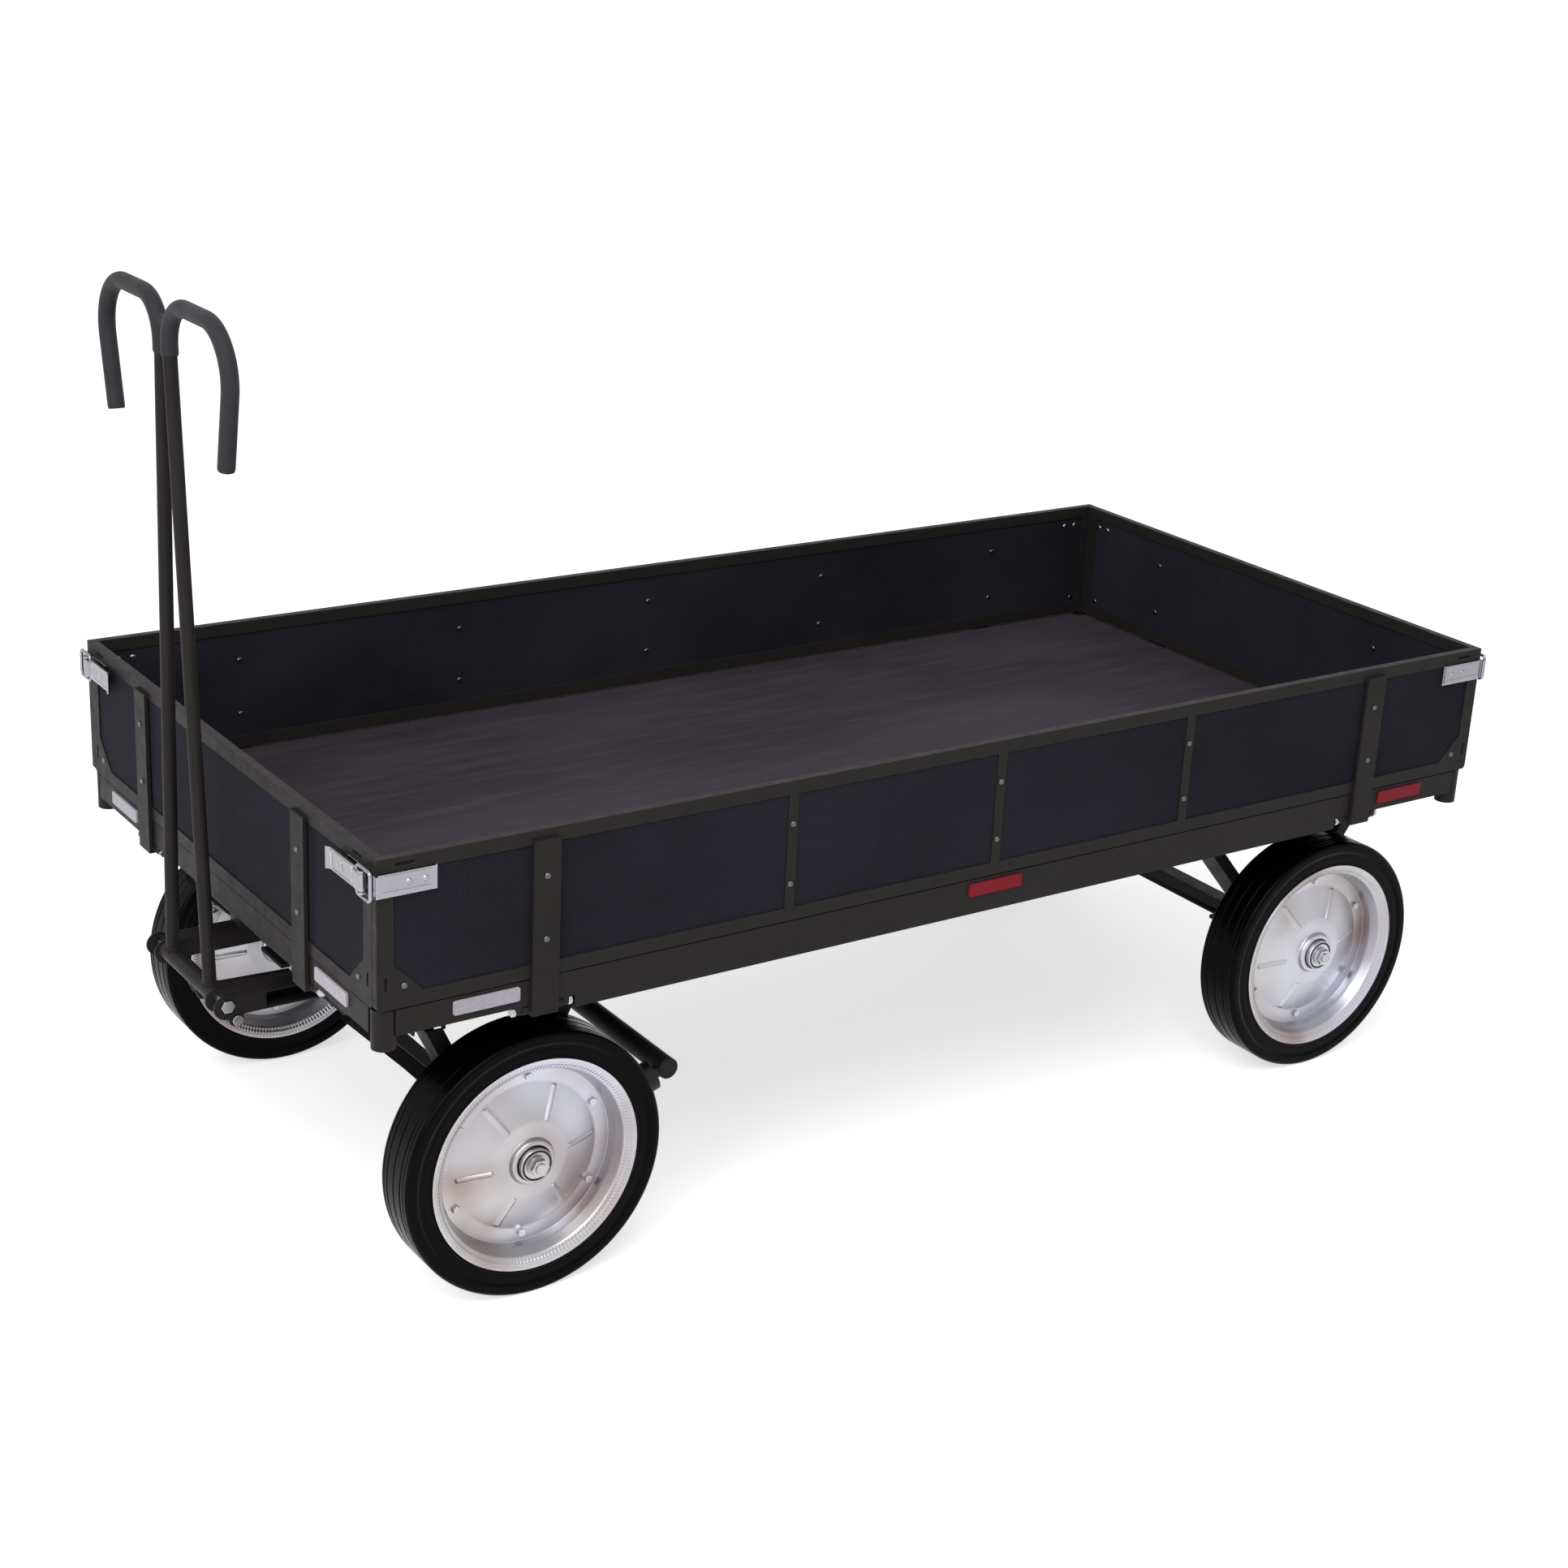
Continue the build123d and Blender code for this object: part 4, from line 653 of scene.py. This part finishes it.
class CART_OT_tyres(bpy.types.Operator):
    """Solid tyres with a grooved tread, a lined shoulder and a hollowed side"""

    bl_idname = "cart.tyres"
    bl_label = "Tyres"

    def execute(self, context):
        size = context.scene.cart_wheels
        finish = rubber("tyre_rubber", context.scene.cart_finishes.tyre, 0.14, 420.0, shine=0.045)
        for wheel in WHEELS:
            centre, radius, half = wheel_centre(wheel)
            grid = revolved(self.profile(size, radius, half), centre, TYRE_TURNS)
            tyre = surface(f"{wheel}_tyre_rubber", grid, True, True, f"{wheel}_wheel", finish)
            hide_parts(f"{wheel}_tyre")
        return {"FINISHED"}

    def profile(self, size, radius, half):
        """Closed section: bead, hollowed side with fine rings, round shoulder, lined and grooved tread."""
        edge = size.rim_radius + size.bead_gap
        seat = size.seat_radius + size.seat_gap
        low = half - size.side_hollow
        bend = size.shoulder
        side = [
            (seat, 0.0),
            (seat + size.wall_foot[0], size.rim_edge - size.wall_foot[1]),
            (edge - size.wall_head[0] + size.seat_gap, size.rim_edge - size.wall_head[1] - size.seat_gap),
            (edge - size.bead_round[0], size.rim_edge - size.bead_round[1]),
            (edge, size.rim_edge + size.bead_high),
            (edge + size.bead_wide, low),
        ]
        for ring in size.side_lines:
            side += self.ridge(edge + ring, low, size.line_wide, size.line_deep)
        side += [(edge + size.hollow_end, low), (edge + size.hollow_rise, half)]
        t = np.linspace(0, np.pi / 2, SHOULDER_SAMPLES)
        side += zip(radius - bend + bend * np.sin(t), half - bend + bend * np.cos(t))
        for line in size.tread_lines:
            ridge = self.ridge(half - bend - line, radius, -size.line_wide, -size.line_deep)
            side += [(r, y) for y, r in ridge]
        tread = []
        mouth, flat = size.groove_mouth / 2, size.groove_floor / 2
        floor = radius - size.groove_deep
        for groove in (1, 0, -1):
            middle = groove * size.groove_pitch
            tread += [(radius, middle + mouth), (floor, middle + flat)]
            tread += [(floor, middle - flat), (radius, middle - mouth)]
        other = [(r, -y) for r, y in reversed(side)]
        return along_line(side + tread + other, TYRE_SAMPLES, size.tyre_blunt)[:-1]

    def ridge(self, middle, level, wide, high):
        """Three points of a fine ridge: place along the surface and height."""
        return [(middle - wide / 2, level), (middle, level + high), (middle + wide / 2, level)]


class CART_OT_rims(bpy.types.Operator):
    """Pressed rim halves with ribs and a knurled edge, hubs, collars and seals"""

    bl_idname = "cart.rims"
    bl_label = "Rims"

    def execute(self, context):
        size = context.scene.cart_wheels
        colours = context.scene.cart_finishes
        sheet = zinc_plate("rim_zinc", colours, knurl=170, staining=0.05, gloss=0.3)
        plain = zinc_plate("hub_zinc", colours, staining=0.05, gloss=0.26)
        seal = rubber("seal_rubber", colours.tyre, 0.4, 500.0)
        for wheel in WHEELS:
            centre = wheel_centre(wheel)[0]
            body = f"{wheel}_wheel"
            for side, name in SIDES:
                profile = self.sheet_profile(size) * (1, side)
                grid = revolved(profile, centre, RIM_TURNS, lambda r, t: side * self.ribs(size, r, t))
                surface(f"{wheel}_rim_{name}", grid, True, True, body, sheet)
                ring = revolved(self.seal_profile(size) * (1, side), centre, SEAL_TURNS)
                surface(f"{wheel}_seal_{name}", ring, True, True, body, seal)
            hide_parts(f"{wheel}_rim")
            hub = revolved(self.hub_profile(size), centre, HUB_TURNS)
            surface(f"{wheel}_hub", hub, True, True, body, plain)
        return {"FINISHED"}

    def sheet_profile(self, size):
        """Closed section of one half: the sheet's middle line set off by half its thickness each way."""
        face = size.sheet / 2
        edge = size.rim_edge
        rim = size.rim_radius
        line = along_line(
            [
                (size.hub_radius + size.hub_gap, size.collar_rise),
                (size.collar_radius, size.collar_rise),
                (size.collar_radius + size.collar_foot[0], size.cone_rise + size.collar_foot[1]),
                (size.cone_head, size.cone_rise),
                (size.cone_foot, face),
                (size.seat_radius, face),
                (size.seat_radius + size.wall_foot[0], edge - size.wall_foot[1]),
                (size.seat_radius + size.wall_step[0], edge - size.wall_step[1]),
                (rim - size.wall_head[0], edge - size.wall_head[1]),
                (rim - size.lip_foot[0], edge - size.lip_foot[1]),
                (rim - size.lip_land[0], edge - size.lip_land[1]),
                (rim - size.lip_wide, edge),
                (rim - face, edge),
            ],
            RIM_SAMPLES,
            size.sheet_blunt,
        )
        slope = unit(np.gradient(line, axis=0))
        out = np.stack([-slope[:, 1], slope[:, 0]], axis=1) * face
        return np.concatenate([line + out, (line - out)[::-1]])

    def ribs(self, size, r, t):
        """Height of the pressed ribs: a smooth ridge across each spoke line, faded at both ends."""
        pitch = TURN / size.ribs
        swing = (t - size.rib_phase + pitch / 2) % pitch - pitch / 2
        across = np.clip(1 - (2 * r * np.sin(swing) / size.rib_width) ** 2, 0, 1)
        inner = (r - size.cone_head - size.rib_inner) / size.rib_fade
        outer = (size.cone_foot - size.rib_outer - r) / size.rib_fade
        reach = np.clip(inner, 0, 1) * np.clip(outer, 0, 1)
        return size.rib_high * across * reach * reach * (3 - 2 * reach)

    def hub_profile(self, size):
        """Closed section of the hub tube with rounded ends."""
        outer, half, bore = size.hub_radius, size.hub_half, size.bore
        corners = [(bore, -half), (outer, -half), (outer, half), (bore, half), (bore, -half)]
        return along_line(corners, HUB_SAMPLES, size.hub_blunt)[:-1]

    def seal_profile(self, size):
        """Closed section of the dark ring set into the hub's end, a flattened circle."""
        t = np.linspace(0, TURN, SEAL_SAMPLES, endpoint=False)
        r = size.hub_radius - size.seal_in + size.seal_half * np.cos(t)
        return np.stack([r, size.hub_half + size.seal_high * np.sin(t)], axis=1)


class CART_OT_grips(bpy.types.Operator):
    """Soft sleeves round the two horns of the drawbar, and the rubber blocks of the brake"""

    bl_idname = "cart.grips"
    bl_label = "Grips and blocks"

    def execute(self, context):
        colours = context.scene.cart_finishes
        size = context.scene.cart_grips
        low, high = corners_of("drawbar_grips")
        top = high[2] - size.radius
        middle_x = high[0] - size.radius
        lean = (high[0] - low[0] - 2 * size.radius) / (high[2] - low[2] - 2 * size.radius)
        foam = rubber("grip_foam", colours.grip, 0.62, 900.0, sheen=0.06)
        for side, name in SIDES:
            grid = self.sleeve(size, side, top, middle_x, lean)
            surface(f"{name}_sleeve", grid, False, True, "drawbar", foam)
        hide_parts("drawbar_grips")
        web = self.web(size, top, middle_x, lean)
        surface("sleeve_web", web, False, True, "drawbar", foam)
        dress(["brake_pads"], rubber("pad_rubber", colours.tyre, 0.5, 260.0))
        return {"FINISHED"}

    def path(self, size):
        """Middle line of the left sleeve: sideways place and height below the top line."""
        corner = size.neck_half + size.neck_slope * size.neck_drop
        down = np.array([size.reach - size.toe, -size.drop])
        points = [(size.neck_half, -size.neck_drop), (corner, 0.0), (size.reach, 0.0), down]
        return rounded_path(points, size.bends, size.path_step)

    def sleeve(self, size, side, top, middle_x, lean):
        """Circle carried along the path; its radius falls to nothing at both ends, with soft lips."""
        line = self.path(size)
        run = run_along(line)
        end = np.minimum(run, run[-1] - run)
        swell = (1 - size.lip_thin) * np.clip(end / size.lip, 0, 1) ** 0.5
        radius = size.radius * (size.lip_thin + swell)
        radius = np.concatenate([[0, 0.5 * size.radius], radius, [0.6 * size.radius, 0]])
        line = np.concatenate([line[:1], line[:1], line, line[-1:], line[-1:]])
        slope = unit(np.gradient(line[2:-2], axis=0))
        slope = np.concatenate([slope[:1], slope[:1], slope, slope[-1:], slope[-1:]])
        t = np.linspace(0, TURN, SLEEVE_TURNS, endpoint=False)[None, :]
        radius = radius[:, None]
        y = line[:, :1] + radius * np.cos(t) * -slope[:, 1:]
        z = line[:, 1:] + radius * np.cos(t) * slope[:, :1]
        x = middle_x + radius * np.sin(t) + lean * z
        return np.stack([x, side * y, top + z], axis=-1)

    def web(self, size, top, middle_x, lean):
        """Rounded bar between the necks: its section is a superellipse that widens to the top."""
        rise = np.linspace(0, 1, WEB_SAMPLES)[:, None]
        t = np.linspace(0, TURN, SLEEVE_TURNS, endpoint=False)[None, :]
        half = size.neck_half + (size.web_half - size.neck_half) * rise**1.6
        close = np.clip(np.minimum(rise, 1 - rise) * 12, 0, 1) ** 0.5
        y = half * np.sign(np.cos(t)) * np.abs(np.cos(t)) ** 0.4
        x = close * size.web_thick / 2 * np.sign(np.sin(t)) * np.abs(np.sin(t)) ** 0.4
        z = size.web_high * rise - size.neck_drop + 0 * t
        return np.stack([middle_x + x + lean * z, y, top + z], axis=-1)


class CART_OT_welds(bpy.types.Operator):
    """Weld beads on the stands, the axles' saddles, the drawbar's foot and the brake"""

    bl_idname = "cart.welds"
    bl_label = "Welds"

    def execute(self, context):
        size = context.scene.cart_welds
        colours = context.scene.cart_finishes
        coat = powder_coat("weld_coat", colours.steel, colours.bare)
        for end, body in (("front", "bogie"), ("rear", "chassis")):
            seams = [np.linspace(*ends, SEAM_SAMPLES) for ends in self.stand_lines(size, end)]
            beads = [self.bead(size, seam) for seam in seams]
            surface(f"{end}_stand_welds", beads, False, True, body, coat)
        beads = [self.bead(size, ring) for ring in self.drawbar_rings(size)]
        surface("drawbar_welds", beads, False, True, "drawbar", coat)
        beads = [self.bead(size, arc) for arc in self.hanger_arcs(size)]
        surface("brake_welds", beads, False, True, "brake", coat)
        return {"FINISHED"}

    def stand_lines(self, size, end):
        """Straight seams across the saddles of a pair of stands, on the axle and under the legs."""
        low, high = corners_of(f"{end}_stands")
        bar_low, bar_high = corners_of(f"{end}_axle")
        middle = (bar_low[0] + bar_high[0]) / 2
        outer = high[1] - size.seam_short
        return [
            [(middle + way * half, side * y, low[2] + above) for y in (inner, outer)]
            for half, inner, above in (size.axle_seam, size.leg_seam)
            for side in (-1, 1)
            for way in (-1, 1)
        ]

    def drawbar_rings(self, size):
        """Rings where the upright tubes stand on the cross tube: z = sqrt(R^2 - x^2) round each tube."""
        pivot = joint_place("drawbar_swing")
        t = np.linspace(0, TURN, RING_SAMPLES)
        x, y = size.tube_radius * np.cos(t), size.tube_radius * np.sin(t)
        z = np.sqrt(size.cross_radius**2 - x**2)
        return [pivot + np.stack([x, side * size.tube_half + y, z], axis=1) for side in (-1, 1)]

    def hanger_arcs(self, size):
        """Arcs round the top of the brake bar on both sides of each hanger."""
        low, high = corners_of("brake_bar")
        middle = np.array([(low[0] + high[0]) / 2, 0.0, low[2] + size.bar_radius])
        t = np.linspace(size.hanger_from, size.hanger_to, HANGER_SAMPLES)
        x, z = size.bar_radius * np.cos(t), size.bar_radius * np.sin(t)
        return [
            middle + np.stack([x, 0 * t + side * size.hanger_half + way * size.hanger_side, z], axis=1)
            for side in (-1, 1)
            for way in (-1, 1)
        ]

    def bead(self, size, line):
        """Tube along a line whose radius swells at each ripple and closes at both ends."""
        whole = run_along(line)[-1]
        steps = np.linspace(0, whole, max(24, int(whole / size.pitch * 5)))
        line = even_steps(line, steps)
        end = np.minimum(steps, whole - steps)
        swell = 1 - size.ripple * np.abs(np.sin(np.pi * steps / size.pitch))
        return tube(line, size.radius * swell * np.clip(end / size.radius, 0, 1) ** 0.5)


def tube(line, radius):
    """Grid of circles across a line in space, with a radius for each of its points."""
    slope = unit(np.gradient(line, axis=0))
    spare = np.where(np.abs(slope[:, 2:]) > 0.8, (1.0, 0.0, 0.0), (0.0, 0.0, 1.0))
    first = unit(np.cross(slope, spare))
    second = np.cross(slope, first)
    t = np.linspace(0, TURN, BEAD_TURNS, endpoint=False)[None, :, None]
    ring = np.cos(t) * first[:, None] + np.sin(t) * second[:, None]
    return line[:, None] + radius[:, None, None] * ring


class CART_OT_latches(bpy.types.Operator):
    """Ridges pressed into the latch levers, in brighter zinc as painted highlights"""

    bl_idname = "cart.latches"
    bl_label = "Latch ridges"

    def execute(self, context):
        size = context.scene.cart_latches
        # Painted highlight: the ridges get zinc at 1.3 times the plain plating's level, over twice the
        # lever's, so they read as bright lines.
        finish = zinc_plate("ridge_zinc_highlight", context.scene.cart_finishes, level=1.3)
        for corner in WHEELS:
            pin = joint_place(f"{corner}_lever_turn")
            out = 1 if corner.startswith("front") else -1
            side = 1 if corner.endswith("left") else -1
            grids = []
            for flat in (self.border(size), self.mark(size)):
                along, up = flat.T
                line = pin + np.stack([0 * along + out * size.face, -side * along, up], axis=1)
                place = np.arange(len(line))
                end = np.minimum(place, place[::-1])
                grids.append(tube(line, size.ridge * np.clip(end / 3, 0, 1) ** 0.5))
            surface(f"{corner}_lever_ridges", grids, False, True, f"{corner}_lever", finish)
        return {"FINISHED"}

    def border(self, size):
        """Ridge round the lever's flat: distance from the pin and height, with round corners."""
        near, far, half = size.near, size.far, size.half
        corners = [(near, 0.0), (near, half), (far, half), (far, -half), (near, -half), (near, 0.0)]
        return rounded_path(corners, [size.bend] * 4, size.step)

    def mark(self, size):
        """Short slanting ridge in the middle of the lever."""
        middle = (size.near + size.far) / 2
        high = size.mark_half * size.half
        return np.linspace((middle - size.slant, -high), (middle + size.slant, high), MARK_SAMPLES)


def rounded_path(points, bends, step):
    """Points at even steps along a polyline whose corners are arcs of the given radii."""
    points = [np.array(point, float) for point in points]
    pieces = [points[0][None]]
    for before, corner, after, bend in zip(points, points[1:], points[2:], bends):
        back = (before - corner) / np.linalg.norm(before - corner)
        ahead = (after - corner) / np.linalg.norm(after - corner)
        half = np.arccos(np.clip(back @ ahead, -1, 1)) / 2
        middle = corner + (back + ahead) / np.linalg.norm(back + ahead) * bend / np.sin(half)
        start = corner + back * bend / np.tan(half) - middle
        stop = corner + ahead * bend / np.tan(half) - middle
        sweep = np.pi - 2 * half
        t = np.linspace(0, 1, ARC_SAMPLES)[:, None]
        arc = (start * np.sin((1 - t) * sweep) + stop * np.sin(t * sweep)) / np.sin(sweep)
        pieces.append(middle + arc)
    pieces.append(points[-1][None])
    line = np.concatenate(pieces)
    whole = run_along(line)[-1]
    return even_steps(line, np.linspace(0, whole, int(whole / step)))


class CART_OT_stage(bpy.types.Operator):
    """Pale floor, soft light and the camera"""

    bl_idname = "cart.stage"
    bl_label = "Stage"

    def execute(self, context):
        scene = context.scene
        settings = scene.cart_stage
        self.floor(settings)
        self.world(scene, settings)
        self.lamp("key", settings.key, settings.key_size, settings.key_place, settings.aim)
        self.lamp("fill", settings.fill, settings.fill_size, settings.fill_place, settings.aim)
        self.camera(scene, settings)
        scene.view_settings.view_transform = "Standard"
        return {"FINISHED"}

    def floor(self, settings):
        """Wide square under the wheels, white to the camera with the cart's soft shadow on it."""
        half = settings.floor_half
        corners = [(-half, -half, 0), (half, -half, 0), (half, half, 0), (-half, half, 0)]
        mesh = bpy.data.meshes.new("floor")
        mesh.from_pydata(corners, [], [(0, 1, 2, 3)])
        g = Graph("floor_white")
        finish = g.finish(
            Base_Color=(*settings.floor, 1),
            Roughness=0.9,
            Specular_IOR_Level=0.0,
            Emission_Color=(1, 1, 1, 1),
            Emission_Strength=g.maths("MULTIPLY", self.seen(g.tree), settings.floor_glow),
        )
        mesh.materials.append(finish)
        shown("floor", mesh)

    def seen(self, tree):
        """1 where the camera, metal or glass sees it, and 0 for other light."""
        ray = tree.nodes.new("ShaderNodeLightPath")
        seen = ray.outputs["Is Camera Ray"]
        for kind in ("Is Glossy Ray", "Is Transmission Ray"):
            either = tree.nodes.new("ShaderNodeMath")
            either.operation = "MAXIMUM"
            tree.links.new(seen, either.inputs[0])
            tree.links.new(ray.outputs[kind], either.inputs[1])
            seen = either.outputs[0]
        return seen

    def world(self, scene, settings):
        """Even light all round, white where the camera, metal or glass sees it."""
        world = bpy.data.worlds.new("studio")
        scene.world = world
        world.use_nodes = True
        tree = world.node_tree
        back = tree.nodes["Background"]
        back.inputs["Color"].default_value = (1, 1, 1, 1)
        level = tree.nodes.new("ShaderNodeMapRange")
        level.inputs["To Min"].default_value = settings.ambient
        level.inputs["To Max"].default_value = 1.0
        tree.links.new(self.seen(tree), level.inputs["Value"])
        tree.links.new(level.outputs["Result"], back.inputs["Strength"])

    def lamp(self, name, power, size, place, aim):
        """Square soft lamp at a place, turned to a point."""
        light = bpy.data.lights.new(name, "AREA")
        light.energy = power
        light.size = size
        lamp = shown(name, light)
        lamp.location = place
        way = Vector(aim) - lamp.location
        lamp.rotation_euler = way.to_track_quat("-Z", "Y").to_euler()

    def camera(self, scene, settings):
        """Camera from the left of the drawbar, looking down along the cart."""
        lens = bpy.data.cameras.new("camera")
        lens.lens = settings.focal
        lens.sensor_width = 36.0
        camera = shown("camera", lens)
        right = (-0.82831, 0.55822, 0.04790)
        up = (-0.15974, -0.31724, 0.93479)
        back = (0.53702, 0.76665, 0.35194)
        place = (2.3452, 3.3358, 2.0201)
        turn = Matrix((right, up, back)).transposed().to_4x4()
        camera.matrix_world = Matrix.Translation(place) @ turn
        scene.camera = camera


class CART_PT_panel(bpy.types.Panel):
    """Lists the steps that dress the cart"""

    bl_idname = "CART_PT_panel"
    bl_label = "Platform Hand Cart"
    bl_space_type = "VIEW_3D"
    bl_region_type = "UI"
    bl_category = "Cart"

    def draw(self, context):
        for step in STEPS:
            self.layout.operator(step.bl_idname)


GROUPS = {
    "cart_wheels": WheelSizes,
    "cart_grips": GripSizes,
    "cart_welds": WeldSizes,
    "cart_latches": LatchSizes,
    "cart_finishes": Finishes,
    "cart_stage": StageSettings,
}
STEPS = (
    CART_OT_steelwork,
    CART_OT_boards,
    CART_OT_fittings,
    CART_OT_tyres,
    CART_OT_rims,
    CART_OT_grips,
    CART_OT_welds,
    CART_OT_latches,
    CART_OT_stage,
)


def register():
    for group in GROUPS.values():
        bpy.utils.register_class(group)
    for step in STEPS:
        bpy.utils.register_class(step)
    bpy.utils.register_class(CART_PT_panel)
    for name, group in GROUPS.items():
        setattr(bpy.types.Scene, name, bpy.props.PointerProperty(type=group))


def unregister():
    for name in GROUPS:
        delattr(bpy.types.Scene, name)
    for kind in (CART_PT_panel, *reversed(STEPS), *reversed(GROUPS.values())):
        bpy.utils.unregister_class(kind)


def main():
    register()
    for step in STEPS:
        group, name = step.bl_idname.split(".")
        getattr(getattr(bpy.ops, group), name)()


if __name__ == "__main__":
    main()
